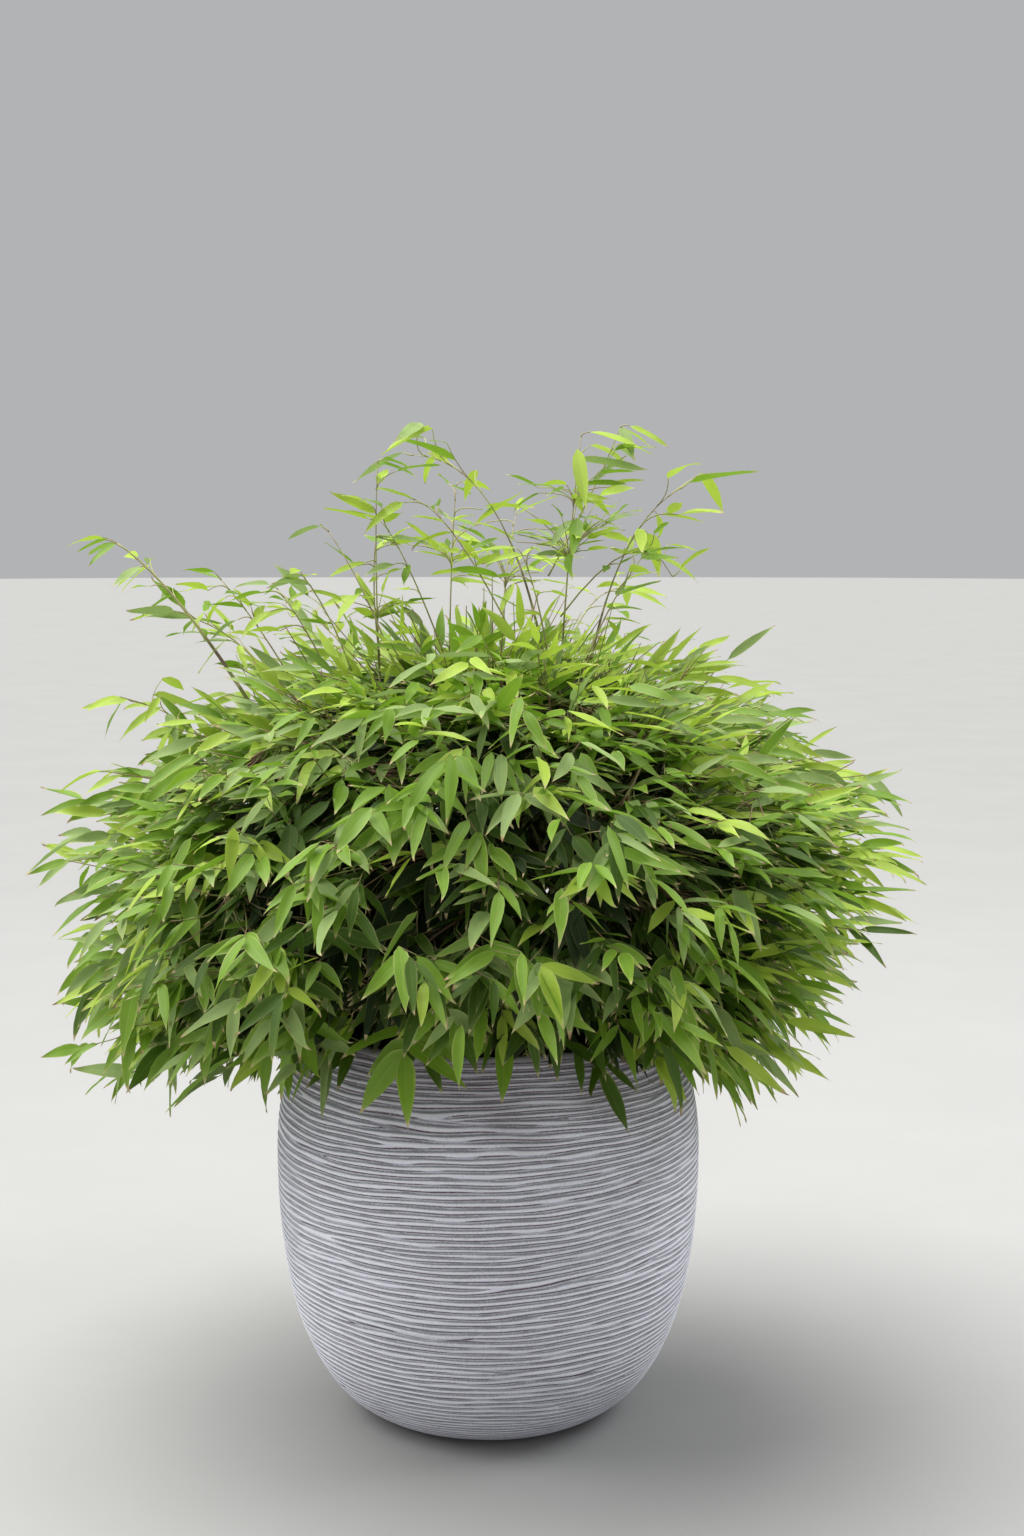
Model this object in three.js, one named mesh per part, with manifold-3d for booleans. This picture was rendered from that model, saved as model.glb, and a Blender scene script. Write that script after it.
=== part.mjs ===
// A clumping bamboo in a ribbed, egg-shaped patio pot: the pot, its soil, the arching canes,
// the masses of foliage that they carry, and the loose leafy shoots that stand above the crown.
// Millimetres and degrees, +Z up, +X to the right as seen from the front (-Y).
// The origin is the middle of the pot's flat foot, on the ground.
import * as THREE from "three";
import { mergeVertices } from "three/addons/utils/BufferGeometryUtils.js";
import Module from "manifold-3d";

// Pot: a round foot, a full belly and a rim that draws in.
const POT_HEIGHT = 400;
const FOOT_RADIUS = 105;
const BELLY_RADIUS = 213;
const BELLY_HEIGHT = 270;
const RIM_RADIUS = 184;
const POT_WALL = 12;
const POT_FLOOR = 16;
const POT_SIDES = 36;
const BELLY_RISE = 2.6; // how fast the lower outline steepens
const BELLY_ROUND = 1.8; // how round its turn at the foot is
const LIP_ROUND = 5;

// Soil: fills the pot and swells a little in the middle.
const SOIL_HEIGHT = 366;
const SOIL_SWELL = 7;

// Meeting pieces keep this gap.
const GAP = 0.3;

// Crown: a dome round a point on the axis called its heart, squarer below than above.
const HEART_HEIGHT = 500;
const CROWN_HALF_WIDTH = 424;
const CROWN_RISE = 300;
const CROWN_DROP = 196;
const UPPER_SQUARENESS = 2.2;
const LOWER_SQUARENESS = 3;

// Where the crown stands out of the dome or is drawn in. Each row: the share, then azimuth and
// width, elevation and width, of a bell.
const CROWN_SHAPES = [
  [-0.22, 0, 55, -24, 16], // over the rim in front
  [-0.12, 92, 42, -10, 11], // a hollow between two tiers on the right
  [0.12, 92, 45, -42, 12], // the lowest leaves on the right
  [0.11, -95, 50, -26, 18], // low on the left
  [-0.05, 80, 34, 30, 14], // the right shoulder
  [-0.07, -92, 36, -6, 6], // between two tiers on the left
  [0.045, 88, 40, 6, 11], // the furthest tips on the right
];
const FRONT_LIFT = 20; // how much higher, in degrees, the lowest leaves end in front
const FRONT_WIDTH = 60;

// The foliage lies in drooping layers. A layer ends at a cone that falls away from the axis.
const LAYER_FALL = 0.466; // slope of the cones
const SKIRT_CONE = 640; // height of the cone's tip, above the lowest layer
const MIDDLE_CONE = 775; // the same, above the middle layer
const CROWN_EYE = 138; // radius of the round mass in the middle of the top
const EYE_FLOOR = 684;
const CELL_MARGIN = 1.6; // what foliage keeps from the edge of its own space
const LIMB_MARGIN = 1.5; // what foliage keeps from the canes that pass it
const POT_MARGIN = 5;

// Leaves and twigs. Each leaf here stands for several real ones, so it is larger than life.
const LEAF_LENGTH = 118;
const LEAF_WIDTH = 32;
const LEAF_ROLL = 48; // how far a blade may lean to either side
const LEAF_THICKNESS = 2.6;
const LEAF_SHOULDER = 0.4; // where the blade is widest, as a share of its length
const LEAF_ROOT = 2.2; // how far past its twig's middle a leaf begins
const END_LEAF_ROOT = 9; // how deep the leaf at the end of a twig is sunk into it
const LEAF_STEP = 25; // from one leaf to the next along a twig
const LEAF_SPACING = 0.6; // what one leaf keeps from the others of its mass
const TWIG_RADIUS = 3.4;
const STEM_RADIUS = 4.5;

const rad = THREE.MathUtils.degToRad;
const UP = new THREE.Vector3(0, 0, 1);
const wasm = await Module();
wasm.setup();

// A steady number from 0 to 1 for the nth draw of a seed.
function draw(seed, n) {
  const s = Math.sin(seed * 12.9898 + n * 78.233) * 43758.5453;
  return s - Math.floor(s);
}

// A number from -1 to 1.
const sway = (seed, n) => 2 * draw(seed, n) - 1;

function material(colour, roughness) {
  return new THREE.MeshStandardMaterial({ color: colour, roughness, metalness: 0 });
}

const POT_FINISH = material(0xb9b8bb, 0.85);
const SOIL_FINISH = material(0x2b211a, 1);
const CANE_FINISH = material(0x7c8a3c, 0.55);
const LEAF_FINISH = material(0x5c9430, 0.6);
const SHOOT_FINISH = material(0x86b23c, 0.6);

const group = new THREE.Group();

function add(name, geometry, finish) {
  const mesh = new THREE.Mesh(geometry, finish);
  mesh.name = name;
  group.add(mesh);
}

// A closed three.js geometry as a solid.
function solidOf(geometry) {
  const bare = geometry.clone();
  bare.deleteAttribute("normal");
  bare.deleteAttribute("uv");
  const merged = mergeVertices(bare, 1e-4);
  return new wasm.Manifold(
    new wasm.Mesh({
      numProp: 3,
      vertProperties: new Float32Array(merged.attributes.position.array),
      triVerts: new Uint32Array(merged.index.array),
    }),
  );
}

// A solid as a three.js geometry. Where fusing left scraps loose, only the largest body is kept.
function geometryOf(solid) {
  const bodies = solid.decompose();
  const body = bodies.reduce((a, b) => (b.volume() > a.volume() ? b : a));
  const { vertProperties, triVerts, numProp, numVert } = body.getMesh();
  const positions = new Float32Array(numVert * 3);
  for (let i = 0; i < numVert; i++) {
    positions.set(vertProperties.subarray(i * numProp, i * numProp + 3), i * 3);
  }
  const geometry = new THREE.BufferGeometry();
  geometry.setAttribute("position", new THREE.BufferAttribute(positions, 3));
  geometry.setIndex(new THREE.BufferAttribute(triVerts, 1));
  geometry.computeVertexNormals();
  return geometry;
}

// Moves every vertex of a geometry through a function of its own place.
function mapped(geometry, place) {
  const position = geometry.attributes.position;
  const v = new THREE.Vector3();
  for (let i = 0; i < position.count; i++) {
    place(v.fromBufferAttribute(position, i));
    position.setXYZ(i, v.x, v.y, v.z);
  }
  return geometry;
}

// The pot's outer radius at a height: a rounded rise to the belly, then a parabola in to the rim.
function potRadius(z) {
  if (z < BELLY_HEIGHT) {
    const fall = Math.pow(1 - z / BELLY_HEIGHT, BELLY_RISE);
    return FOOT_RADIUS + (BELLY_RADIUS - FOOT_RADIUS) * Math.pow(1 - fall, 1 / BELLY_ROUND);
  }
  const rise = (z - BELLY_HEIGHT) / (POT_HEIGHT - BELLY_HEIGHT);
  return BELLY_RADIUS - (BELLY_RADIUS - RIM_RADIUS) * rise * rise;
}

const insideRadius = (z) => potRadius(z) - POT_WALL;

// Heights along the outside, and along the inside wall, where the soil's facets lie parallel.
const OUTSIDE_HEIGHTS = [3, 10, 24, 48, 84, 132, 196, BELLY_HEIGHT, 318, 360];
const INSIDE_HEIGHTS = [POT_FLOOR, 50, 120, 250];

// A lathe turns round Y. This stands it up, closed along its seam and at its poles.
function upright(profile) {
  const points = profile.map(([r, z]) => new THREE.Vector2(r, z));
  return geometryOf(solidOf(new THREE.LatheGeometry(points, POT_SIDES).rotateX(Math.PI / 2)));
}

function makePot() {
  const brim = RIM_RADIUS - POT_WALL;
  const profile = [
    [0, 0],
    [FOOT_RADIUS, 0],
    ...OUTSIDE_HEIGHTS.map((z) => [potRadius(z), z]),
    [RIM_RADIUS + 0.6, POT_HEIGHT - LIP_ROUND],
    [RIM_RADIUS - LIP_ROUND, POT_HEIGHT],
    [brim, POT_HEIGHT - LIP_ROUND],
    [insideRadius(SOIL_HEIGHT), SOIL_HEIGHT],
    ...[...INSIDE_HEIGHTS].reverse().map((z) => [insideRadius(z), z]),
    [0, POT_FLOOR],
  ];
  add("pot", upright(profile), POT_FINISH);
}

function makeSoil() {
  const top = SOIL_HEIGHT + SOIL_SWELL;
  const profile = [
    [0, POT_FLOOR + GAP],
    ...INSIDE_HEIGHTS.map((z) => [insideRadius(z) - GAP, Math.max(z, POT_FLOOR + GAP)]),
    [insideRadius(SOIL_HEIGHT) - GAP, SOIL_HEIGHT - GAP],
    [FOOT_RADIUS, top],
    [0, top],
  ];
  add("soil", upright(profile), SOIL_FINISH);
}

// Cylinder coordinates round the axis. Azimuth 0 is the front, and it grows towards +X.
function at(azimuth, r, z) {
  const a = rad(azimuth);
  return new THREE.Vector3(r * Math.sin(a), -r * Math.cos(a), z);
}

const azimuthOf = (p) => THREE.MathUtils.radToDeg(Math.atan2(p.x, -p.y));
const radiusOf = (p) => Math.hypot(p.x, p.y);

// The angle from one azimuth to another, from -180 to 180.
const turnTo = (from, to) => ((((to - from) % 360) + 540) % 360) - 180;

// A direction at an azimuth, pitched up or down.
function heading(azimuth, pitch) {
  const p = rad(pitch);
  return at(azimuth, Math.cos(p), Math.sin(p));
}

// A bell curve of a distance, in widths.
const bell = (distance, width) => Math.exp(-((distance / width) ** 2));

// How far the crown reaches from its heart in a direction: a superellipse with shallow lumps,
// drawn in or let out where its shapes say.
function reach(azimuth, elevation) {
  const squareness = elevation > 0 ? UPPER_SQUARENESS : LOWER_SQUARENESS;
  const rise = elevation > 0 ? CROWN_RISE : CROWN_DROP;
  const e = rad(elevation);
  const wide = Math.pow(Math.cos(e) / CROWN_HALF_WIDTH, squareness);
  const tall = Math.pow(Math.abs(Math.sin(e)) / rise, squareness);
  const lumps = 0.03 * Math.sin(rad(3 * azimuth) + 1) + 0.022 * Math.sin(rad(7 * azimuth + 3 * elevation));
  let shaped = 1;
  for (const [share, middle, width, level, height] of CROWN_SHAPES) {
    shaped += share * bell(turnTo(middle, azimuth), width) * bell(elevation - level, height);
  }
  return Math.pow(wide + tall, -1 / squareness) * (1 + lumps * Math.cos(e)) * shaped;
}

// The lowest places are lifted in front, where the crown clears the rim.
function lifted(azimuth, elevation) {
  const low = THREE.MathUtils.clamp(-elevation / 30, 0, 1);
  return elevation + FRONT_LIFT * bell(turnTo(0, azimuth), FRONT_WIDTH) * low;
}

function crownPoint(azimuth, elevation, share) {
  const far = reach(azimuth, elevation) * share;
  const e = rad(elevation);
  return at(azimuth, far * Math.cos(e), HEART_HEIGHT + far * Math.sin(e));
}

// Leaves rise a little at the top of the crown and hang more the lower they grow.
const leafPitch = (elevation) => 0.9 * elevation - 22;

// A limb: a round bar with a few sides, bent along a curve, that tapers from foot to tip.
function limb(curve, footRadius, tipRadius, sides, steps) {
  const bar = new THREE.CylinderGeometry(1, 1, 1, sides, steps);
  const span = curve.getPoint(1).sub(curve.getPoint(0));
  const level = new THREE.Vector3().crossVectors(UP, span);
  if (level.length() < 1) level.set(1, 0, 0);
  const out = new THREE.Vector3();
  const aside = new THREE.Vector3();
  return solidOf(
    mapped(bar, (v) => {
      const t = THREE.MathUtils.clamp(v.y + 0.5, 0, 1);
      const along = curve.getTangent(t);
      out.crossVectors(level, along).normalize();
      aside.crossVectors(along, out);
      const r = footRadius + (tipRadius - footRadius) * t;
      const { x, z } = v;
      v.copy(curve.getPoint(t)).addScaledVector(aside, r * x).addScaledVector(out, r * z);
    }),
  );
}

function twig(from, to, radius) {
  return limb(new THREE.LineCurve3(from, to), radius, 0.85 * radius, 3, 1).simplify(0.01);
}

// The solid with these corners and faces.
function polyhedron(corners, faces) {
  return new wasm.Manifold(
    new wasm.Mesh({
      numProp: 3,
      vertProperties: new Float32Array(corners.flatMap((v) => v.toArray())),
      triVerts: new Uint32Array(faces.flat()),
    }),
  );
}

// A leaf: a long kite, flat below, with a low ridge above where it is widest.
function leafCorners(root, direction, length, width, roll) {
  const aside = new THREE.Vector3().crossVectors(direction, UP).normalize();
  const above = new THREE.Vector3().crossVectors(aside, direction);
  aside.applyAxisAngle(direction, rad(roll));
  above.applyAxisAngle(direction, rad(roll));
  const shoulder = root.clone().addScaledVector(direction, LEAF_SHOULDER * length);
  const place = (out, up) => shoulder.clone().addScaledVector(aside, out).addScaledVector(above, up);
  const tip = root.clone().addScaledVector(direction, length).addScaledVector(above, -0.04 * length);
  return [root.clone(), tip, place(-width / 2, 0), place(width / 2, 0), place(0, LEAF_THICKNESS)];
}

const LEAF_FACES = [[0, 4, 2], [2, 4, 1], [1, 4, 3], [3, 4, 0], [0, 2, 3], [1, 3, 2]];

// Everything that foliage made later must keep clear of.
const taken = [];

function boxOf(solid) {
  const { min, max } = solid.boundingBox();
  return new THREE.Box3(new THREE.Vector3(...min), new THREE.Vector3(...max));
}

// The room, where there is one, is what a core gives up to let a cane through.
function take(solid, room) {
  taken.push({ solid, room, box: boxOf(solid) });
}

function clearOfPot(p) {
  if (p.z > POT_HEIGHT + POT_MARGIN) return true;
  return radiusOf(p) > potRadius(Math.max(p.z, 0)) + POT_MARGIN;
}

// A leaf's corners and points between them, tested against the space that it must keep to.
function leafFits([root, tip, left, right, ridge], inside) {
  const probes = [tip, left, right, ridge];
  for (const share of [0.25, 0.6, 0.8]) probes.push(root.clone().lerp(tip, share));
  for (const edge of [left, right]) probes.push(edge.clone().lerp(tip, 0.5), edge.clone().lerp(root, 0.5));
  return probes.every((p) => inside(p) && clearOfPot(p));
}

// Whether a solid stays clear of every one in a list.
function apart(solid, others, gap) {
  const box = boxOf(solid).expandByScalar(gap);
  return others.every((other) => !other.box.intersectsBox(box) || solid.minGap(other.solid, 2 * gap) >= gap);
}

// Leaves along the end of a twig: one in line with it, and the rest in turn to either side.
// A leaf that leaves its space or meets another is turned, and then skipped.
function leavesOn(from, end, course, pitch, count, length, seed, inside, home, placed) {
  const back = from.clone().sub(end);
  const reachOf = back.length();
  back.normalize();
  const fan = [];
  for (let k = 0; k < count; k++) {
    const side = (k + Math.floor(2 * draw(seed, 2))) % 2 ? 1 : -1;
    const spread = k === 0 ? 6 * sway(seed, 3) : side * (34 + 16 * draw(seed, 4 + k));
    const tilt = pitch + 10 * sway(seed, 20 + k) - 4 * k;
    const long = length * (1 - 0.05 * k) * (0.94 + 0.12 * draw(seed, 30 + k));
    const root = end.clone().addScaledVector(back, Math.min(k * LEAF_STEP, 0.9 * reachOf));
    for (const [turn, lift] of LEAF_TRIES) {
      const way = heading(course + spread + turn * turnTo(course + spread, home), tilt + lift);
      const start = root.clone().addScaledVector(way, k ? -LEAF_ROOT : -END_LEAF_ROOT);
      const corners = leafCorners(start, way, long, LEAF_WIDTH * (long / LEAF_LENGTH), LEAF_ROLL * sway(seed, 40 + k));
      if (!leafFits(corners, inside)) continue;
      const leaf = polyhedron(corners, LEAF_FACES);
      if (!apart(leaf, taken, LIMB_MARGIN) || !apart(leaf, placed, LEAF_SPACING)) continue;
      placed.push({ solid: leaf, box: boxOf(leaf) });
      fan.push(leaf);
      break;
    }
  }
  return fan;
}

// How a leaf is turned, as a share of the way to the middle of its mass, and lifted, in turn.
const LEAF_TRIES = [[0, 0], [0, 14], [0.3, -12], [0.5, 8], [-0.2, 20], [0.8, -18], [0.4, 26]];

// A spray: a twig that ends one leaf's length below the crown's surface, with its leaves. One that
// would leave its space or meet another is shifted towards the middle of the mass, then skipped.
function spray(core, place, inside, home, placed) {
  const { elevation, share, seed, leaves } = place;
  const pitch = leafPitch(elevation) + 12 * sway(seed, 1);
  for (const [shift, rise] of SPRAY_TRIES) {
    const azimuth = place.azimuth + shift * turnTo(place.azimuth, home);
    const course = azimuth + 14 * sway(seed, 5);
    const target = crownPoint(azimuth, elevation + rise, share);
    const end = target.clone().addScaledVector(heading(course, pitch), -0.9 * LEAF_LENGTH);
    const from = core.rootOf(end);
    const middle = from.clone().lerp(end, 0.6);
    if (![end, middle].every((p) => inside(p) && clearOfPot(p))) continue;
    const bar = twig(from, end, TWIG_RADIUS);
    if (!apart(bar, taken, LIMB_MARGIN) || !apart(bar, placed, LEAF_SPACING)) continue;
    const fan = leavesOn(from, end, course, pitch, leaves, LEAF_LENGTH, seed, inside, home, placed);
    if (fan.length) return [bar, ...fan];
  }
  return [];
}

const SPRAY_TRIES = [[0, 0], [0.15, 4], [0.3, -4], [0.45, 6], [0.6, -6], [0.8, 2]];

// A cane from the soil: one tapering limb. Its foot stands just clear of the soil, and is flat.
function makeCane(name, foot, bend, tip, footRadius, tipRadius) {
  const curve = new THREE.QuadraticBezierCurve3(foot, bend, tip);
  const bezierTangent = curve.getTangent;
  curve.getTangent = (t) => (t === 0 ? UP.clone() : bezierTangent.call(curve, t));
  const solid = limb(curve, footRadius, tipRadius, 5, 4);
  add(name, geometryOf(solid), CANE_FINISH);
  take(solid, limb(curve, footRadius + LIMB_MARGIN, tipRadius + LIMB_MARGIN, 5, 4));
  const along = curve.getTangent(1);
  return { start: tip.clone().addScaledVector(along, GAP), along };
}

const CANE_FOOT = SOIL_HEIGHT + SOIL_SWELL + GAP;

// The stem of a mass: it carries a cane on, from just clear of its tip.
function stemCurve(cane, end) {
  return new THREE.QuadraticBezierCurve3(cane.start, cane.start.clone().addScaledVector(cane.along, 24), end);
}

// The dense heart of a mass: a lumpy ball drawn out along its layer, from which twigs stand out.
// Where it would leave its space it is drawn in.
function makeCore(centre, azimuth, halves, seed, inside) {
  const out = heading(azimuth, -22);
  const aside = new THREE.Vector3().crossVectors(UP, out).normalize();
  const axes = [out, aside, new THREE.Vector3().crossVectors(out, aside)];
  const ball = mapped(new THREE.IcosahedronGeometry(1, 1), (v) => {
    const lump = 1 + 0.13 * Math.sin(5 * v.x + seed) * Math.cos(4 * v.y + 2 * v.z + seed);
    const share = v.toArray();
    v.copy(centre);
    axes.forEach((axis, i) => v.addScaledVector(axis, halves[i] * lump * share[i]));
    for (let n = 0; n < 12 && !inside(v); n++) v.lerp(centre, 0.08);
  });
  // A twig towards a point starts well inside the ball's skin on that side.
  const rootOf = (end) => {
    const way = end.clone().sub(centre);
    const depth = Math.hypot(...axes.map((axis, i) => way.dot(axis) / halves[i]));
    return centre.clone().addScaledVector(way, Math.min(0.7 / depth, 0.6));
  };
  const whole = solidOf(ball);
  const box = boxOf(whole);
  const passing = taken.filter((other) => other.room && other.box.intersectsBox(box));
  const solid = passing.reduce((rest, other) => rest.subtract(other.room), whole);
  return { centre, rootOf, solid };
}

// One mass of foliage: stem, core, twigs and leaves, fused.
function makeMass(name, cane, core, places, inside, home) {
  const parts = [core.solid, limb(stemCurve(cane, core.centre), STEM_RADIUS, 0.8 * STEM_RADIUS, 5, 2)];
  const placed = [];
  for (const place of places) parts.push(...spray(core, place, inside, home, placed));
  add(name, geometryOf(wasm.Manifold.union(parts)), LEAF_FINISH);
}

// Spray places spread evenly over a patch of the crown.
function sprayPlaces(count, azimuths, elevations, seed, leaves) {
  const places = [];
  for (let n = 0; n < count; n++) {
    const u = (0.5 + n * 0.7548777) % 1;
    const w = (0.5 + n * 0.5698403) % 1;
    const azimuth = THREE.MathUtils.lerp(azimuths[0], azimuths[1], 0.06 + 0.88 * u);
    places.push({
      azimuth,
      elevation: lifted(azimuth, THREE.MathUtils.lerp(elevations[0], elevations[1], w)),
      share: n % 3 === 2 ? 0.92 : 1,
      seed: seed + n,
      leaves,
    });
  }
  return places;
}

// The space of one mass in a layer: a sector between two cones.
function sectorSpace(layer, azimuth) {
  const half = rad(180 / layer.count);
  return (p) => {
    const r = radiusOf(p);
    const off = rad(Math.abs(turnTo(azimuth, azimuthOf(p))));
    const cone = p.z + LAYER_FALL * r;
    return (
      off < half && r * Math.sin(half - off) > CELL_MARGIN && r > layer.inner + CELL_MARGIN &&
      cone > layer.above + CELL_MARGIN && cone < layer.below - CELL_MARGIN
    );
  };
}

const SKIRT = {
  name: "skirt", count: 6, first: -5, inner: 150, above: 0, below: SKIRT_CONE,
  elevations: [-40, -6], foot: 95, bend: [140, 590], tip: [190, 500], core: [262, 450],
  thick: [56, 44], fill: 0.78, sprays: 8, leaves: 4, seed: 3,
};
const MIDDLE = {
  name: "middle", count: 5, first: -59, inner: 140, above: SKIRT_CONE, below: MIDDLE_CONE,
  elevations: [-8, 20], foot: 70, bend: [110, 640], tip: [176, 622], core: [260, 586],
  thick: [64, 52], fill: 0.76, sprays: 9, leaves: 4, seed: 7,
};
const UPPER = {
  name: "upper", count: 4, first: -45, inner: CROWN_EYE, above: MIDDLE_CONE, below: 2000,
  elevations: [18, 58], foot: 42, bend: [70, 650], tip: [146, 700], core: [216, 692],
  thick: [76, 28], fill: 0.78, sprays: 11, leaves: 4, seed: 11,
};
const LAYERS = [SKIRT, MIDDLE, UPPER];

// The loose shoots above the crown. Each row: azimuth and radius of its foot; how far out and how
// high it bends; and azimuth, radius and height of its tip.
const SHOOTS = [
  [-95, 60, 262, 800, -95, 372, 872],
  [-88, 78, 118, 760, -82, 108, 950],
  [88, 60, 66, 760, 84, 92, 976],
  [100, 84, 70, 860, 92, 190, 926],
  [75, 86, 86, 955, -78, 74, 958],
  [178, 80, 100, 800, 172, 204, 900],
  [-150, 80, 90, 800, -160, 96, 930],
  [-84, 92, 236, 700, -90, 352, 716],
  [-124, 70, 222, 764, -108, 330, 796],
];

const SHOOT_LEAF = 84;
const SHOOT_START = 0.62; // the share of a shoot below its lowest leaves

// A shoot: a cane up to the top of the crown, then a thin leafy stem of its own. All the canes
// are made before any leaves, so that the leaves can keep clear of them.
function makeShoots() {
  const stems = SHOOTS.map(([azimuth, r, out, high, tipAzimuth, tipRadius, tipHeight], n) => {
    const way = new THREE.QuadraticBezierCurve3(
      at(azimuth, r, CANE_FOOT),
      at(azimuth, out, high),
      at(tipAzimuth, tipRadius, tipHeight),
    );
    const parting = way.getPoint(SHOOT_START);
    const bend = way.v0.clone().lerp(way.v1, SHOOT_START);
    const cane = makeCane("shoot_cane_" + (n + 1), way.v0, bend, parting, 3.6, 2.6);
    return { cane, tip: way.v2, bend: way.v1.clone().lerp(way.v2, SHOOT_START) };
  });
  stems.forEach(makeShootFoliage);
}

function makeShootFoliage({ cane, tip, bend }, n) {
  const curve = new THREE.QuadraticBezierCurve3(cane.start, bend, tip);
  const parts = [limb(curve, 2.8, 2, 4, 4)];
  const inside = (p) => p.z > 700;
  const placed = [];
  const count = 4;
  for (let k = 0; k < count; k++) {
    const seed = 5000 + 60 * n + k;
    const t = 1 - 0.2 * k;
    const from = curve.getPoint(t);
    const along = azimuthOf(curve.getTangent(t));
    const side = k % 2 ? 1 : -1;
    const course = along + (k ? side * (50 + 50 * draw(seed, 1)) : 0);
    const pitch = 8 + 24 * sway(seed, 2);
    if (k === 0) {
      parts.push(...leavesOn(curve.getPoint(0.9), from, course, pitch, 3, SHOOT_LEAF, seed, inside, course, placed));
      continue;
    }
    const end = from.clone().addScaledVector(heading(course, pitch + 12), 26 + 20 * draw(seed, 3));
    const bar = twig(from, end, 2.2);
    if (!apart(bar, taken, LIMB_MARGIN)) continue;
    parts.push(bar, ...leavesOn(from, end, course, pitch, 2, SHOOT_LEAF, seed, inside, course, placed));
  }
  const solid = wasm.Manifold.union(parts);
  add("shoot_foliage_" + (n + 1), geometryOf(solid), SHOOT_FINISH);
  take(solid);
}

function makeCrown() {
  const masses = [];
  for (const layer of LAYERS) {
    for (let n = 0; n < layer.count; n++) {
      const azimuth = layer.first + (n * 360) / layer.count;
      const name = layer.name + "_cane_" + (n + 1);
      const high = layer.bend[1] + 12 * sway(layer.seed, n);
      const foot = at(azimuth, layer.foot, CANE_FOOT);
      const cane = makeCane(name, foot, at(azimuth, layer.bend[0], high), at(azimuth, ...layer.tip), 4.2, 3);
      masses.push({ layer, n, azimuth, cane });
    }
  }
  const middle = makeCane("top_cane", at(0, 4, CANE_FOOT), at(0, 10, 500), at(0, 4, 690), 4.2, 3);
  makeShoots();
  for (const { layer, n, azimuth, cane } of masses) {
    const inside = sectorSpace(layer, azimuth);
    const half = 180 / layer.count;
    const centre = at(azimuth, ...layer.core);
    const wide = layer.core[0] * Math.tan(rad(half)) * layer.fill;
    const halves = [layer.thick[0], wide, layer.thick[1]];
    const core = makeCore(centre, azimuth, halves, layer.seed + n, inside);
    const seed = layer.seed * 100 + n * 40;
    const sides = [azimuth - half, azimuth + half];
    const places = sprayPlaces(layer.sprays, sides, layer.elevations, seed, layer.leaves);
    makeMass(layer.name + "_foliage_" + (n + 1), cane, core, places, inside, azimuth);
  }
  const inside = (p) => radiusOf(p) < CROWN_EYE - CELL_MARGIN && p.z > EYE_FLOOR;
  const core = makeCore(at(0, 4, 730), 0, [104, 104, 24], 5, inside);
  const places = sprayPlaces(10, [0, 360], [62, 86], 1700, 3);
  makeMass("top_foliage", middle, core, places, inside, 0);
}

makePot();
makeSoil();
makeCrown();

export default group;
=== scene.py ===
"""The looks of a potted clumping bamboo, built round its packed frame.

Laid out as a Blender add-on and run as a script. Metres and degrees, +Z up, -Y to the front, and the
origin in the middle of the pot's flat foot. Azimuth 0 is the front, and it grows towards +X.
"""

import bpy
import numpy as np
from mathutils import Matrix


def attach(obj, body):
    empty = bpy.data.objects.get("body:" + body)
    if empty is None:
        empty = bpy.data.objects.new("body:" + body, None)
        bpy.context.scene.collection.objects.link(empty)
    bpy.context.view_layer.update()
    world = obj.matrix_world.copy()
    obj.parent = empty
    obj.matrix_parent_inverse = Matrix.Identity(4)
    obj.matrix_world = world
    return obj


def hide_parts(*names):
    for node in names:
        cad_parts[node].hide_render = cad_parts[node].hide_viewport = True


bl_info = {
    "name": "Potted Bamboo",
    "version": (1, 0, 0),
    "blender": (4, 5, 0),
    "location": "3D View > Sidebar > Bamboo",
    "description": "Builds a clumping bamboo in a ribbed patio pot: pot, soil, canes, twigs and leaves",
    "category": "Object",
}

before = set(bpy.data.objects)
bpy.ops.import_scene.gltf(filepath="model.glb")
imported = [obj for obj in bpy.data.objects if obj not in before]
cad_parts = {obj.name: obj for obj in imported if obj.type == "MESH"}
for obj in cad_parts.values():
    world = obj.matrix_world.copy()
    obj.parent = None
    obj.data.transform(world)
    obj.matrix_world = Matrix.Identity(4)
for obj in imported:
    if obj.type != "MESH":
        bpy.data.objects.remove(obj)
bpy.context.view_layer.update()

# Pot: a round foot, a full belly and a rim that draws in.
POT_HEIGHT = 0.400
FOOT_RADIUS = 0.105
BELLY_RADIUS = 0.213
BELLY_HEIGHT = 0.270
RIM_RADIUS = 0.184
POT_WALL = 0.012
POT_FLOOR = 0.016
BELLY_RISE = 2.6
BELLY_ROUND = 1.8
LIP_ROUND = 0.005
POT_ROWS = 440  # corners up the wall and, next, round it
POT_COLUMNS = 208

# Endings of ribs: how many, from where and how far up the wall, how flat each is, and the radius on
# which heights are taken as angles.
RIB_ENDINGS = 110
ENDINGS_FROM = 0.01
ENDINGS_SPAN = 0.47
ENDING_FLATNESS = 9.0
POT_MEAN_RADIUS = 0.205

# Soil: it stands clear of the pot and swells from its shoulder in to the middle.
SOIL_HEIGHT = 0.366
SOIL_SWELL = 0.007
SOIL_SHOULDER = 0.172
SOIL_SLOPE = 0.067
SOIL_GAP = 0.0004
SOIL_FLOOR = POT_FLOOR + 0.0003
SOIL_COLUMNS = 150
CRUMBS_ABOVE = 0.3635

CANE_FOOT = 0.3733  # the height at which canes begin
CANE_STEPS = 130
CANE_SIDES = 8

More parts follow.
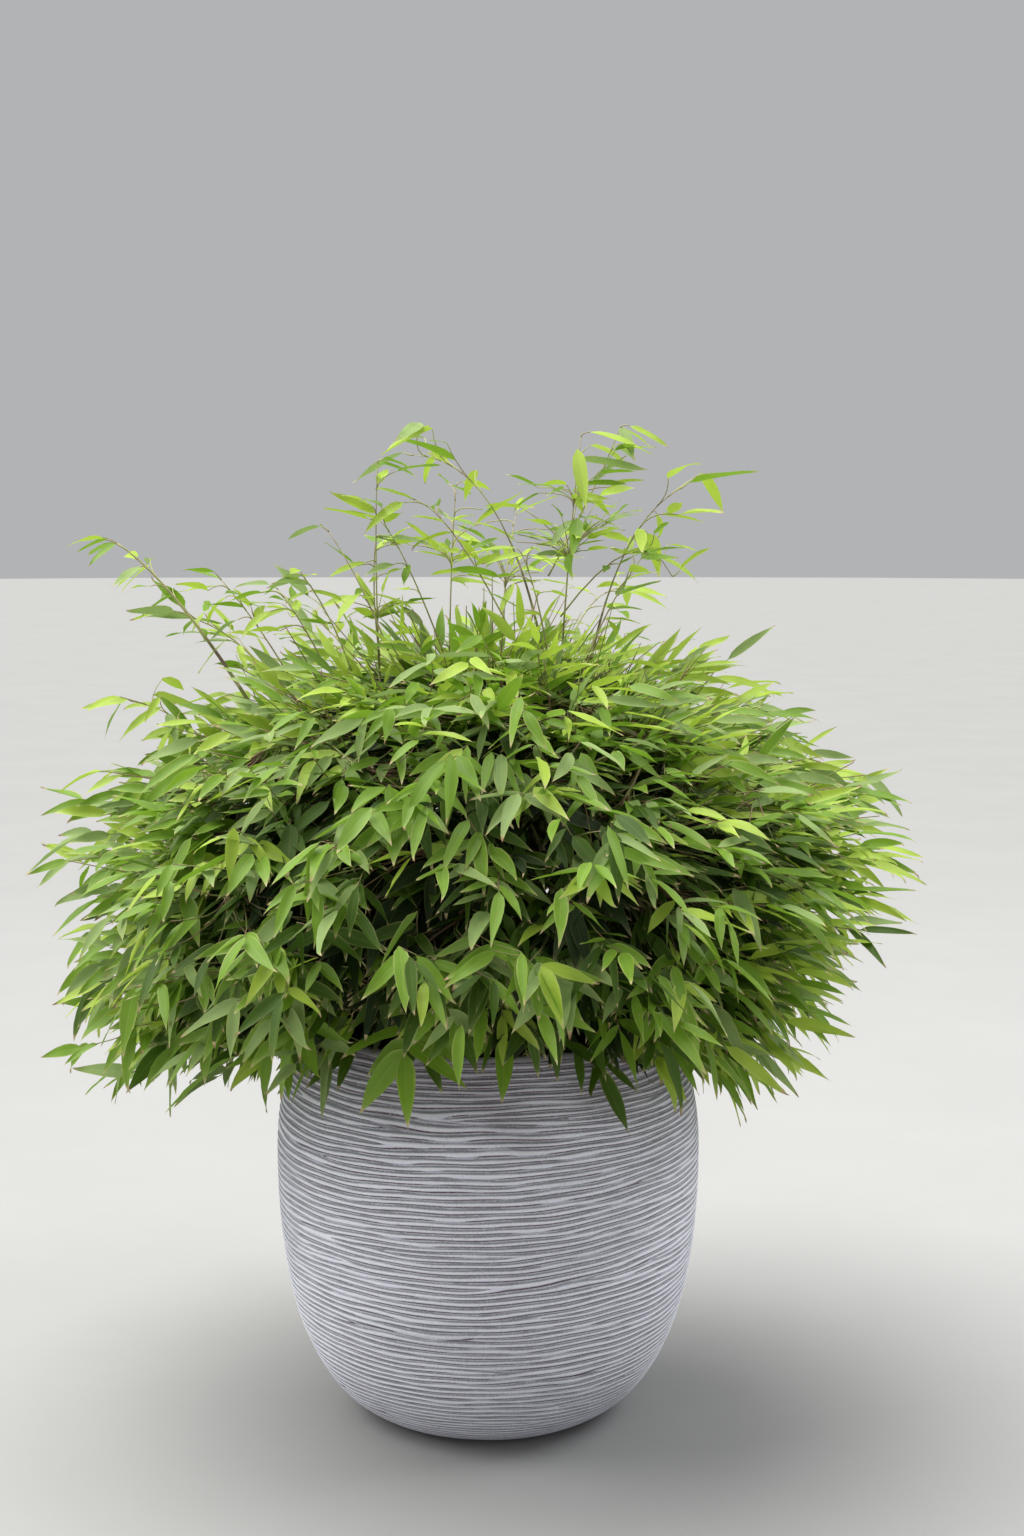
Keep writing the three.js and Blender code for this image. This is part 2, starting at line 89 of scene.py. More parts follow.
# Crown: a dome round its heart, squarer below than above, in drooping layers.
HEART_HEIGHT = 0.500
CROWN_HALF_WIDTH = 0.424
CROWN_RISE = 0.300
CROWN_DROP = 0.196
UPPER_SQUARENESS = 2.2
LOWER_SQUARENESS = 3.0
BOUGH_LEAF = 0.118  # the room that a bough leaves for what grows on at its end

# Where the crown stands out of the dome or is drawn in. Each row: the share, then azimuth and width,
# elevation and width, of a bell.
CROWN_SHAPES = [
    (-0.22, 0, 55, -24, 16),  # over the rim in front
    (-0.14, 92, 42, -8, 11),  # a hollow between two tiers on the right
    (0.05, 92, 45, -42, 12),  # the lowest leaves on the right
    (0.12, -95, 50, -22, 15),  # low on the left
    (-0.17, -95, 46, -36, 10),  # the lowest leaves on the left
    (-0.05, 80, 34, 30, 14),  # the right shoulder
    (-0.08, -90, 42, 33, 12),  # the left shoulder
    (-0.10, -92, 36, -5, 6),  # between two tiers on the left
    (0.055, 88, 40, 11, 10),  # the furthest tips on the right
]
FRONT_LIFT = 20  # how much higher, in degrees, the lowest leaves end in front
FRONT_WIDTH = 60  # and over what azimuth that fades

# Layers of masses: how many, the azimuth of the first, the elevations between which they lie and how
# many boughs each has. Then the radius of a cane's foot, and as radius and height its bend, its tip
# and the core of its mass.
LAYERS = {
    "skirt": dict(
        count=6, first=-5, elevations=(-40, -6), boughs=12, seed=3,
        foot=0.095, bend=(0.140, 0.590), tip=(0.190, 0.500), core=(0.262, 0.450),
    ),
    "middle": dict(
        count=5, first=-59, elevations=(-8, 20), boughs=12, seed=7,
        foot=0.070, bend=(0.110, 0.640), tip=(0.176, 0.622), core=(0.260, 0.586),
    ),
    "upper": dict(
        count=4, first=-45, elevations=(18, 58), boughs=14, seed=11,
        foot=0.042, bend=(0.070, 0.650), tip=(0.146, 0.700), core=(0.216, 0.692),
    ),
}

# The mass in the middle of the top, its cane and its stem, as radius and height.
TOP_ELEVATIONS = (60, 88)
TOP_BOUGHS = 14
TOP_SEED = 1700
TOP_CANE = [(0.004, CANE_FOOT), (0.010, 0.500), (0.004, 0.690)]
TOP_STEM = [(0.004, 0.690), (0.004, 0.712), (0.004, 0.730)]

# Radii at the root and at the tip.
CANE_RADII = (0.0042, 0.0030)
SHOOT_RADII = (0.0032, 0.0010)
BOUGH_RADII = (0.0014, 0.0009)
STEM_RADII = (0.0010, 0.00045)
TWIG_RADII = (0.0008, 0.00045)

# Loose shoots. Each row: azimuth and radius of its foot; how far out and how high it bends; and
# azimuth, radius and height of its tip.
SHOOTS = np.array([
    [-95, 0.060, 0.262, 0.800, -95, 0.372, 0.872],
    [-88, 0.078, 0.118, 0.760, -82, 0.108, 0.950],
    [88, 0.060, 0.066, 0.760, 84, 0.092, 0.976],
    [100, 0.084, 0.070, 0.860, 92, 0.190, 0.926],
    [75, 0.086, 0.086, 0.955, -78, 0.074, 0.958],
    [178, 0.080, 0.100, 0.800, 172, 0.204, 0.900],
    [-150, 0.080, 0.090, 0.800, -160, 0.096, 0.930],
    [-84, 0.092, 0.236, 0.700, -90, 0.352, 0.716],
    [-124, 0.070, 0.222, 0.764, -108, 0.330, 0.796],
])
SHOOT_START = 0.62  # the share of a shoot's curve that is its cane, below its leafy stem

# What each shoot bears: how many side twigs, from what share of its stem, how long; the fewest
# leaves on one and how many more it may have; a leaf's size as a share; the pitch of its leaves; and
# how stout its stem is, as a share.
SPRIGS = np.array([
    [9, 0.10, 0.034, 1, 2.6, 0.86, -8, 1.75],
    [5, 0.40, 0.022, 1, 2.0, 0.90, -6, 0.9],
    [7, 0.30, 0.036, 1, 2.2, 1.10, -34, 1.0],
    [7, 0.30, 0.044, 1, 2.4, 1.16, -26, 1.0],
    [7, 0.35, 0.040, 1, 2.2, 1.10, -24, 0.8],
    [7, 0.25, 0.034, 1, 2.6, 0.92, -8, 1.0],
    [7, 0.25, 0.030, 1, 2.6, 0.92, -8, 0.9],
    [7, 0.25, 0.026, 1, 2.6, 1.05, -30, 1.0],
    [8, 0.15, 0.030, 1, 2.6, 0.88, -12, 1.3],
])

# Whorls: which shoot, at what share of its stem, how many thin branches and how long they are.
WHORLS = np.array([
    [2, 0.30, 20, 0.056],
    [2, 0.62, 9, 0.034],
    [1, 0.10, 6, 0.030],
    [5, 0.30, 8, 0.040],
    [6, 0.35, 7, 0.036],
])
WHORL_LEAVES = (1, 2.4, 0.68, 4)  # the fewest and how many more on a branch, their size and pitch

# Side twigs that stand out of the crown. Each row: azimuth, radius and height of the root, the bend
# and the tip, and how many tufts of leaves it bears besides two at its end.
SIDE_TWIGS = np.array([
    [92, 0.072, 0.800, 92, 0.150, 0.905, 92, 0.182, 0.841, 3],
    [-90, 0.042, 0.760, -90, 0.085, 0.876, -90, 0.106, 0.895, 3],
    [60, 0.036, 0.770, -60, 0.040, 0.905, -84, 0.071, 0.915, 4],
    [94, 0.060, 0.840, 96, 0.110, 0.930, 90, 0.130, 0.985, 3],
    [150, 0.150, 0.740, 150, 0.210, 0.830, 146, 0.270, 0.820, 4],
    [-140, 0.190, 0.700, -138, 0.250, 0.800, -136, 0.310, 0.790, 4],
    [-96, 0.200, 0.740, -96, 0.236, 0.800, -94, 0.266, 0.836, 5],
    [-80, 0.160, 0.750, -80, 0.184, 0.800, -84, 0.206, 0.828, 5],
    [-70, 0.140, 0.750, -72, 0.160, 0.810, -76, 0.184, 0.842, 5],
    [-100, 0.110, 0.760, -98, 0.118, 0.830, -92, 0.110, 0.878, 4],
    [-60, 0.110, 0.770, -70, 0.130, 0.840, -76, 0.158, 0.884, 0],
    [60, 0.110, 0.760, 66, 0.130, 0.820, 72, 0.156, 0.858, 4],
    [40, 0.090, 0.770, 30, 0.096, 0.830, 20, 0.100, 0.862, 3],
])
SIDE_TWIG_LEAVES = (0.3, 0.024, 1, 2.4, 0.80, -6)  # as in the rows of SPRIGS, from the second on

# Sprays that hang over the rim. Each row: azimuth, radius and height of the twig's end, the pitch of
# its leaves, how many there are, and their size as a share.
HANGING = np.array([
    [-13, 0.308, 0.434, -66, 7, 1.25],
    [23, 0.304, 0.450, -58, 5, 1.10],
    [39, 0.312, 0.446, -48, 6, 1.12],
    [3, 0.292, 0.466, -62, 4, 0.95],
    [-33, 0.310, 0.442, -60, 5, 1.10],
    [158, 0.305, 0.452, -60, 6, 1.15],
    [-160, 0.300, 0.458, -62, 5, 1.05],
])

# Bare twig ends over the top: how many, between which elevations, and their seed.
STRAWS = (110, (18, 84), 1900)

# The steps by which places are spread: the first two inverse powers of the plastic number.
PLACE_STEPS = (0.7548777, 0.5698403)

# How deep the leaves of ten twigs in turn stand, as shares of the crown's reach.
TWIG_DEPTHS = np.array([1.0, 0.80, 0.96, 0.62, 1.03, 0.87, 0.72, 0.94, 0.50, 0.84])
COMBED_BELOW = 48  # leaves on the right are combed outwards below this elevation
MOST_LEAVES = 7  # on one twig
STEEPEST = -78  # the pitch that no spray of leaves hangs below

# How clear of the pot twigs and leaves stay, and by how many degrees a leaf that isn't is lifted.
TWIG_GAP = 0.004
LEAF_GAP = 0.003
LEAST_GAP = 0.002
LIFT_STEP = 24

# The kinds of leaf, in the order of their finishes. Deep and inner are darker greens that are painted
# shade; bright is young leaves and also painted light high up and at the sides; glaucous is also a
# painted sheen on the front left.
FRESH, DEEP_SHADED, BRIGHT_YOUNG_AND_LIT, GLAUCOUS_AND_SHEEN, STRAW, INNER_SHADED = range(6)

# How far along a blade its rows of corners lie.
STATIONS = np.array([0.0, 0.045, 0.12, 0.24, 0.40, 0.58, 0.75, 0.88, 0.955, 1.0])

# Stage: the camera as the photograph's, a soft light from above and a lamp at either side, each with
# its place, its share of the power and its tint.
CAMERA_PLACE = (0.0241, -2.161, 0.9)
CAMERA_TILT = 83.39
SENSOR_WIDTH = 36
SKY_TINT = (0.97, 0.98, 1.0, 1)
SUN_TINT = (1.0, 0.99, 0.965)
SUN_SPREAD = 62
SUN_TURN = (-8, -16, 0)
SIDE_LAMPS = (
    ("left", (-2.8, -0.4, 2.0), 0.85, (1.0, 0.99, 0.98)),
    ("right", (2.5, 0.2, 2.6), 1.15, (0.97, 0.98, 1.0)),
)
LAMP_SIZE = 1.8
LAMP_TARGET = (0, 0, 0.45)


# The source's rule, on arrays


def draw(seed, n):
    """A steady number from 0 to 1 for the nth draw of a seed: the fraction of a large sine."""
    s = np.sin(np.asarray(seed, float) * 12.9898 + np.asarray(n, float) * 78.233) * 43758.5453
    return s - np.floor(s)


def sway(seed, n):
    """A steady number from -1 to 1."""
    return 2 * draw(seed, n) - 1


def at(azimuth, radius, height):
    """Cylinder coordinates round the axis: (r sin a, -r cos a, z)."""
    a = np.radians(azimuth)
    return np.stack(np.broadcast_arrays(radius * np.sin(a), -radius * np.cos(a), height), axis=-1)


def heading(azimuth, pitch):
    """The unit direction at an azimuth, pitched up or down."""
    p = np.radians(pitch)
    return at(azimuth, np.cos(p), np.sin(p))


def azimuth_of(v):
    """The azimuth of points or directions, in degrees."""
    return np.degrees(np.arctan2(v[..., 0], -v[..., 1]))


def pot_radius(z):
    """The pot's outside: a power curve that steepens up to the belly, then a parabola in to the rim."""
    low = np.clip(z / BELLY_HEIGHT, 0, 1)
    rise = 1 - (1 - low) ** BELLY_RISE
    high = np.clip((z - BELLY_HEIGHT) / (POT_HEIGHT - BELLY_HEIGHT), 0, 1)
    below = FOOT_RADIUS + (BELLY_RADIUS - FOOT_RADIUS) * rise ** (1 / BELLY_ROUND)
    return np.where(z < BELLY_HEIGHT, below, BELLY_RADIUS - (BELLY_RADIUS - RIM_RADIUS) * high**2)


def bump(x, middle, width):
    """A bell curve: e to the minus squared distance from the middle, in widths."""
    return np.exp(-(((x - middle) / width) ** 2))


def side(azimuth, middle, width):
    """A bell curve of azimuth, round the axis."""
    return bump((azimuth - middle + 180) % 360, 180, width)


def reach(azimuth, elevation):
    """How far the crown reaches from its heart: a superellipse of elevation, times shallow lumps of
    azimuth, and drawn in or let out where its shapes say."""
    above = np.asarray(elevation) > 0
    power = np.where(above, UPPER_SQUARENESS, LOWER_SQUARENESS)
    half_height = np.where(above, CROWN_RISE, CROWN_DROP)
    e = np.radians(elevation)
    wide = (np.cos(e) / CROWN_HALF_WIDTH) ** power
    tall = (np.abs(np.sin(e)) / half_height) ** power
    lumps = 0.03 * np.sin(np.radians(3 * azimuth) + 1)
    lumps = lumps + 0.022 * np.sin(np.radians(7 * azimuth + 3 * elevation))
    shaped = 1
    for share, middle, width, level, height in CROWN_SHAPES:
        shaped = shaped + share * side(azimuth, middle, width) * bump(elevation, level, height)
    return (wide + tall) ** (-1 / power) * (1 + lumps * np.cos(e)) * shaped


def lifted(azimuth, elevation):
    """The lowest places are lifted in front, where the crown clears the rim."""
    return elevation + FRONT_LIFT * side(azimuth, 0, FRONT_WIDTH) * np.clip(-elevation / 30, 0, 1)


def crown_point(azimuth, elevation, share):
    """The point at a share of the crown's reach from its heart."""
    far = reach(azimuth, elevation) * share
    e = np.radians(elevation)
    return at(azimuth, far * np.cos(e), HEART_HEIGHT + far * np.sin(e))


def leaf_pitch(elevation):
    """Leaves rise a little at the top of the crown and hang more the lower they grow."""
    return 0.9 * elevation - 22


def spread_places(count, azimuths, elevations, margin, by_area=False):
    """Places spread evenly over a patch: two shares that grow by fixed irrational steps, taken to one.
    Where it is by area, the second share is one of the sines of the elevations."""
    n = np.arange(count)
    u = (0.5 + n * PLACE_STEPS[0]) % 1
    w = (0.5 + n * PLACE_STEPS[1]) % 1
    azimuth = azimuths[0] + (azimuths[1] - azimuths[0]) * (margin + (1 - 2 * margin) * u)
    low, high = elevations
    if by_area:
        lowest, highest = np.sin(np.radians(low)), np.sin(np.radians(high))
        return azimuth, lifted(azimuth, np.degrees(np.arcsin(lowest + (highest - lowest) * w)))
    return azimuth, lifted(azimuth, low + (high - low) * w)


def bezier(a, b, c, t):
    """Quadratic curves with controls a, b, c (N, 3) at shares t (N, K): points (N, K, 3)."""
    t = t[..., None]
    a, b, c = a[:, None], b[:, None], c[:, None]
    return (1 - t) ** 2 * a + 2 * t * (1 - t) * b + t**2 * c


def unit(v):
    """Vectors at a length of one."""
    return v / np.maximum(np.linalg.norm(v, axis=-1, keepdims=True), 1e-9)


# Surfaces on arrays


def put_mesh(name, corners, faces, finishes, face_finish=None, uv=None, values=None):
    """A mesh object at the origin from corners (N, 3) and triangles (M, 3)."""
    mesh = bpy.data.meshes.new(name)
    mesh.vertices.add(len(corners))
    mesh.vertices.foreach_set("co", np.ascontiguousarray(corners, dtype=np.float32).ravel())
    mesh.loops.add(3 * len(faces))
    mesh.loops.foreach_set("vertex_index", np.ascontiguousarray(faces, dtype=np.int32).ravel())
    mesh.polygons.add(len(faces))
    mesh.polygons.foreach_set("loop_start", np.arange(0, 3 * len(faces), 3, dtype=np.int32))
    mesh.update(calc_edges=True)
    mesh.polygons.foreach_set("use_smooth", np.ones(len(faces), dtype=bool))
    for finish in finishes:
        mesh.materials.append(finish)
    if face_finish is not None:
        mesh.polygons.foreach_set("material_index", np.ascontiguousarray(face_finish, dtype=np.int32))
    if uv is not None:
        layer = mesh.uv_layers.new(name="leaf")
        layer.data.foreach_set("uv", np.ascontiguousarray(uv[faces.ravel()], dtype=np.float32).ravel())
    for key, value in (values or {}).items():
        attribute = mesh.attributes.new(key, "FLOAT", "POINT")
        attribute.data.foreach_set("value", np.ascontiguousarray(value, dtype=np.float32))
    mesh.validate()
    piece = bpy.data.objects.new(name, mesh)
    bpy.context.scene.collection.objects.link(piece)
    return piece


def joined(parts):
    """Several (corners, faces) as one, with the faces' numbers moved on."""
    corners, faces, start = [], [], 0
    for c, f in parts:
        corners.append(c)
        faces.append(f + start)
        start += len(c)
    return np.concatenate(corners), np.concatenate(faces)


def ring_walls(rings, columns):
    """Two triangles for each cell between rings of corners that follow each other: (a, d, b) and
    (a, c, d), where a and b are neighbours on one ring and c and d stand next to them on the next."""
    ring, column = np.meshgrid(np.arange(rings - 1), np.arange(columns), indexing="ij")
    a = ring * columns + column
    b = ring * columns + (column + 1) % columns
    c, d = a + columns, b + columns
    return np.concatenate([np.stack([a, d, b], -1).reshape(-1, 3), np.stack([a, c, d], -1).reshape(-1, 3)])


def ring_cap(pole, start, columns):
    """Triangles from a pole to each side of the ring whose corners begin at start."""
    ring = np.arange(columns)
    return np.stack([np.full(columns, pole), start + ring, start + (ring + 1) % columns], -1)


def turned(radius, height, columns, relief=0):
    """A closed surface of revolution: row k is a ring of radius r(k) + relief(k, angle) at height
    z(k), and a pole closes it at either end."""
    rows = len(radius)
    angle = np.linspace(0, 2 * np.pi, columns, endpoint=False)
    r = np.broadcast_to(radius[:, None] + relief, (rows, columns))
    z = np.broadcast_to(height[:, None], r.shape)
    rings = np.stack([r * np.sin(angle), -r * np.cos(angle), z], axis=-1).reshape(-1, 3)
    poles = np.array([[0, 0, height[0]], [0, 0, height[-1]]])
    foot = ring_cap(rows * columns, 0, columns)[:, ::-1]
    head = ring_cap(rows * columns + 1, (rows - 1) * columns, columns)
    faces = np.concatenate([ring_walls(rows, columns)[:, ::-1], foot, head])
    return np.concatenate([rings, poles]), faces


def tubes(centres, radii, sides):
    """Round bars along paths, all at once: centres (N, K, 3), radii (N, K). Each ring lies across the
    path, level on one axis, and a pole closes either end."""
    count, steps = radii.shape
    along = unit(np.gradient(centres, axis=1))
    flat = np.linalg.norm(along[..., :2], axis=-1, keepdims=True)
    level = np.concatenate([-along[..., 1:2], along[..., :1], 0 * along[..., :1]], -1)
    start = unit(level[:, :1] + np.array([1e-3, 0, 0]))
    level = unit(np.where(flat > 0.05, level, start))
    out = np.cross(level, along)
    angle = np.linspace(0, 2 * np.pi, sides, endpoint=False)
    rings = centres[:, :, None] + radii[:, :, None, None] * (
        level[:, :, None] * np.cos(angle)[:, None] + out[:, :, None] * np.sin(angle)[:, None]
    )
    per = steps * sides + 2
    corners = np.concatenate([rings.reshape(count, -1, 3), centres[:, :1], centres[:, -1:]], axis=1)
    foot = ring_cap(per - 2, 0, sides)
    head = ring_cap(per - 1, (steps - 1) * sides, sides)[:, ::-1]
    one = np.concatenate([ring_walls(steps, sides), foot, head])
    faces = (one[None] + per * np.arange(count)[:, None, None]).reshape(-1, 3)
    return corners.reshape(-1, 3), faces


def blade_width(t):
    """A blade's half width as a share of its widest: a short stalk, then a sine of a power of the
    length, widest at a third, that draws out to a long tip."""
    s = np.clip((t - 0.035) / 0.965, 0, 1)
    width = np.abs(np.sin(np.pi * s**0.6)) ** 0.80 * (1 - 0.42 * np.clip((t - 0.62) / 0.38, 0, 1) ** 1.4)
    return np.maximum(width, np.where(t < 0.9, 0.055, 0))


def blade_corners(leaf):
    """Corners (N, stations, 3, 3) of the blades: left edge, midrib, right edge.

    The midrib's pitch falls by droop times a power of the length and its azimuth turns by sweep; the
    cross line is level at right angles to it, turned by roll and twist; and the edges are lifted by
    the fold, and rippled by a sine along them."""
    t = STATIONS[None]
    curl = leaf["curl"][:, None] * np.clip((t - 0.86) / 0.14, 0, 1)
    pitch = leaf["pitch"][:, None] - leaf["droop"][:, None] * t**1.4 + 0.6 * curl
    azimuth = leaf["azimuth"][:, None] + leaf["sweep"][:, None] * t + curl
    along = heading(azimuth, pitch)
    middle = unit(along[:, 1:] + along[:, :-1])
    stride = leaf["length"][:, None, None] * np.diff(STATIONS)[None, :, None] * middle
    rib = leaf["root"][:, None] + np.concatenate([0 * stride[:, :1], np.cumsum(stride, axis=1)], axis=1)
    aside = heading(azimuth + 90, 0 * pitch)
    above = np.cross(along, aside)
    roll = np.radians(leaf["roll"][:, None] + leaf["twist"][:, None] * t)[..., None]
    aside, above = aside * np.cos(roll) + above * np.sin(roll), above * np.cos(roll) - aside * np.sin(roll)
    half = 0.5 * leaf["width"][:, None] * blade_width(t)
    fold = np.radians(leaf["fold"])[:, None]
    ripple = 0.05 * leaf["width"][:, None] * np.sin(9 * t + 6.28 * leaf["ripple"][:, None]) * (t > 0.1)
    out, lift = (half * np.cos(fold))[..., None], half * np.sin(fold)
    left = rib - aside * out + above * (lift + ripple)[..., None]
    right = rib + aside * out + above * (lift - ripple)[..., None]
    return np.stack([left, rib, right], axis=2)


def blades(leaf):
    """Every blade as one mesh: two strips of quads, halved, from the stalk to the tip. Returns
    corners, faces, the finish of each face and the place of each corner across and along its leaf."""
    corners = blade_corners(leaf)
    count, rows = corners.shape[:2]
    k = np.arange(rows - 2)
    a, b, c, tip = 3 * k, 3 * k + 1, 3 * k + 2, 3 * (rows - 1)
    strips = [np.stack(f, -1) for f in ((a, a + 3, b + 3), (a, b + 3, b), (b, b + 3, c + 3), (b, c + 3, c))]
    point = [[tip - 3, tip, tip - 2], [tip - 2, tip, tip - 1]]
    one = np.concatenate([np.stack(strips, axis=1).reshape(-1, 3), point])
    faces = (one[None] + (tip + 1) * np.arange(count)[:, None, None]).reshape(-1, 3)
    row_of = np.append(np.repeat(k, 4), [rows - 2, rows - 2])
    dry_from = np.where(leaf["dry"] > 0, rows - 1 - leaf["dry"], rows)
    kind = np.where(row_of[None] >= dry_from[:, None], STRAW, leaf["kind"][:, None]).ravel()
    u = np.append(np.tile([0, 0.5, 1.0], rows - 1), 0.5)
    v = np.append(np.repeat(STATIONS[:-1], 3), 1.0)
    uv = np.tile(np.stack([u, v], -1), (count, 1))
    corners = np.concatenate([corners[:, :-1].reshape(count, -1, 3), corners[:, -1, 1:2]], axis=1)
    return corners.reshape(-1, 3), faces, kind, uv


# Growth


def clear_of_pot(points, margin):
    """Whether points (N, ..., 3) all stand off the pot, by row."""
    r = np.hypot(points[..., 0], points[..., 1])
    free = (points[..., 2] > POT_HEIGHT + margin) | (r > pot_radius(points[..., 2]) + margin)
    return free.reshape(len(points), -1).all(axis=1)


def fans(sizes, curve, seed, course, pitch, count, length, slim, lean_on, step, kind, home_kind):
    """The leaves on the ends of twigs: the first carries the twig on, and the rest stand in turn to
    either side, further back and more spread, in the plane of the twig and a level line across it.
    The blades face the way that plane does.

    curve is the twigs' three controls, step the way from leaf to leaf, slim a share of the usual
    width, lean_on a further roll, and home_kind the green of an odd leaf."""
    k = np.arange(MOST_LEAVES)[None]
    seed = seed[:, None]
    on = k < count[:, None]
    span = np.linalg.norm(curve[2] - curve[0], axis=-1)[:, None] + 1e-6
    root = bezier(*curve, np.clip(1 - k * step[:, None] / span, 0.12, 1))
    hand = np.where((k + np.floor(2 * draw(seed, 2))) % 2 > 0, 1.0, -1.0)
    spread = np.where(k == 0, 12 * sway(seed, 3), hand * (24 + 6 * k + 26 * draw(seed, 4 + k)))
    spread = np.radians(spread)[..., None]
    along = heading(course, pitch)[:, None]
    aside = heading(course + 90, 0 * pitch)[:, None]
    facing = np.cross(along, aside)
    way = along * np.cos(spread) + aside * np.sin(spread) + 0.36 * facing * sway(seed, 20 + k)[..., None]
    way = unit(way)
    azimuth = azimuth_of(way)
    tilt = np.degrees(np.arcsin(np.clip(way[..., 2], -0.999, 0.999)))
    level = heading(azimuth + 90, 0 * tilt)
    lean = np.degrees(np.arctan2(-(facing * level).sum(-1), (facing * np.cross(way, level)).sum(-1)))
    long = length[:, None] * (1 - 0.03 * k) * (0.74 + 0.42 * draw(seed, 30 + k))
    wide = long * slim[:, None] * sizes.leaf_width / sizes.leaf_length * (0.84 + 0.3 * draw(seed, 60 + k))
    odd = (draw(seed, 50 + k) < 0.16) & (kind[:, None] != INNER_SHADED)
    dry_rows = 1 + (draw(seed, 130 + k) < 0.30)
    every = dict(
        root=root,
        azimuth=azimuth,
        pitch=tilt,
        length=long,
        width=wide,
        roll=0.85 * lean + 38 * sway(seed, 40 + k) + lean_on[:, None],
        droop=4 + 22 * draw(seed, 70 + k) ** 1.5,
        sweep=22 * sway(seed, 80 + k),
        twist=34 * sway(seed, 90 + k),
        fold=7 + 24 * draw(seed, 100 + k),
        ripple=draw(seed, 110 + k),
        kind=np.where(odd, home_kind[:, None], kind[:, None]),
        dry=np.where(draw(seed, 120 + k) < 0.48, dry_rows, 0),
    )
    leaf = {key: value[on] for key, value in every.items()}
    leaf["curl"] = np.where(leaf["dry"] > 0, 70, 14) * sway(leaf["length"] * 9e4, 3)
    leaf["pitch"] = np.maximum(leaf["pitch"], -86 + 0.7 * leaf["droop"])
    return leaf


def settled(leaf):
    """Leaves that would touch the pot are lifted up to three times, and left out if that isn't enough."""
    for _ in range(3):
        stuck = ~clear_of_pot(blade_corners(leaf), LEAF_GAP)
        leaf["pitch"] = np.where(stuck, leaf["pitch"] + LIFT_STEP, leaf["pitch"])
    free = clear_of_pot(blade_corners(leaf), LEAST_GAP)
    return {key: value[free] for key, value in leaf.items()}


def merged(leaves):
    """Several lots of leaves as one."""
    return {key: np.concatenate([leaf[key] for leaf in leaves]) for key in leaves[0]}


def kinds_of(seed, azimuth, elevation, share):
    """Which green a spray is: mostly fresh; deep and then inner further in, darker greens that are painted
    shade, and deep also low in front as painted shade; bright high up and at the sides, as painted light
    there; and now and then glaucous, more often on the front left as a painted sheen. Returns that,
    and the green of an odd leaf in it."""
    # painted light: bright leaves are more likely high up and at the sides
    light = 0.03 + 0.42 * bump(elevation, 75, 42)
    light = light + 0.58 * side(azimuth, 92, 50) + 0.24 * side(azimuth, -95, 45)
    chance = draw(seed, 140)
    kind = np.where(chance < light * (share > 0.85), BRIGHT_YOUNG_AND_LIT, FRESH)
    # painted sheen: glaucous leaves are more often on the front left
    kind = np.where(chance > 0.86 - 0.12 * side(azimuth, -60, 60), GLAUCOUS_AND_SHEEN, kind)
    shaded = side(azimuth, 0, 55) * np.clip((34 - elevation) / 30, 0, 1)
    edge = 0.04 * shaded - 0.04 * bump(elevation, 28, 16) + 0.04 * np.clip((elevation - 46) / 14, 0, 1)
    # painted shade: deep green further in, and inner near-black green further in still
    kind = np.where((share < 0.89 + edge) & (chance > 0.12), DEEP_SHADED, kind)
    kind = np.where((share < 0.82 + edge) & (chance > 0.06), INNER_SHADED, kind)
    # painted shade: more deep leaves low in front
    kind = np.where((chance > 0.86 - 0.36 * shaded) & (chance < 0.86), DEEP_SHADED, kind)
    other = np.where(draw(seed, 141) < 0.5, GLAUCOUS_AND_SHEEN, np.where(draw(seed, 142) < 0.4, BRIGHT_YOUNG_AND_LIT, FRESH))
    return kind, other


def grow_boughs(centre, azimuths, elevations, count, seed):
    """Boughs by the source's rule, from near the end of a mass's stem to its spray places. Returns the
    azimuths and elevations of the places and the controls of the curves."""
    azimuth, elevation = spread_places(count, azimuths, elevations, 0.06)
    n = np.arange(count)
    share = np.where(n % 3 == 2, 0.92, 1.0)
    pitch = leaf_pitch(elevation) + 12 * sway(seed + n, 1)
    course = azimuth + 14 * sway(seed + n, 5)
    end = crown_point(azimuth, elevation, share) - heading(course, pitch) * 0.9 * BOUGH_LEAF
    root = np.broadcast_to(centre, end.shape) + 0.08 * (end - centre)
    rise = np.array([0, 0, 0.016])
    bend = 0.5 * (root + end) + rise + 0.02 * heading(azimuth, 0 * azimuth)
    return azimuth, elevation, (root, bend, end)


def twig_depth(azimuth, elevation, seed):
    """How deep each twig's leaves stand, as a share of the crown's reach: depths in turn, with pits
    where a sum of sines is low, a valley in front that leans to the right as it rises, and a few
    twigs that stand further out. Returns the depths, and which twigs those few are."""
    depth = TWIG_DEPTHS[np.arange(len(seed)) % len(TWIG_DEPTHS)]
    a, e = np.radians(azimuth), np.radians(elevation)
    pits = np.sin(13 * a + 2 * np.sin(9 * e)) * np.sin(17 * e + 1.5 * np.sin(7 * a))
    pits = pits + 0.6 * np.sin(23 * a + 19 * e)
    pit_depth = np.where(elevation > 12, 0.08, 0.15)
    depth = depth + 0.04 * pits + 0.02 * sway(seed, 152) - pit_depth * ((pits < -0.35) & (depth > 0.9))
    valley = side(azimuth, -9 + 0.5 * elevation, 11) * bump(elevation, -8, 17)
    depth = depth - 0.17 * valley * (draw(seed, 158) < 0.75)
    far = draw(seed, 154) < np.where(elevation > 38, 0.16, 0.05 + 0.08 * side(azimuth, -90, 50))
    depth = depth + far * (0.04 + 0.07 * draw(seed, 155)) * np.clip((elevation + 10) / 40, 0.2, 1)
    return depth, far


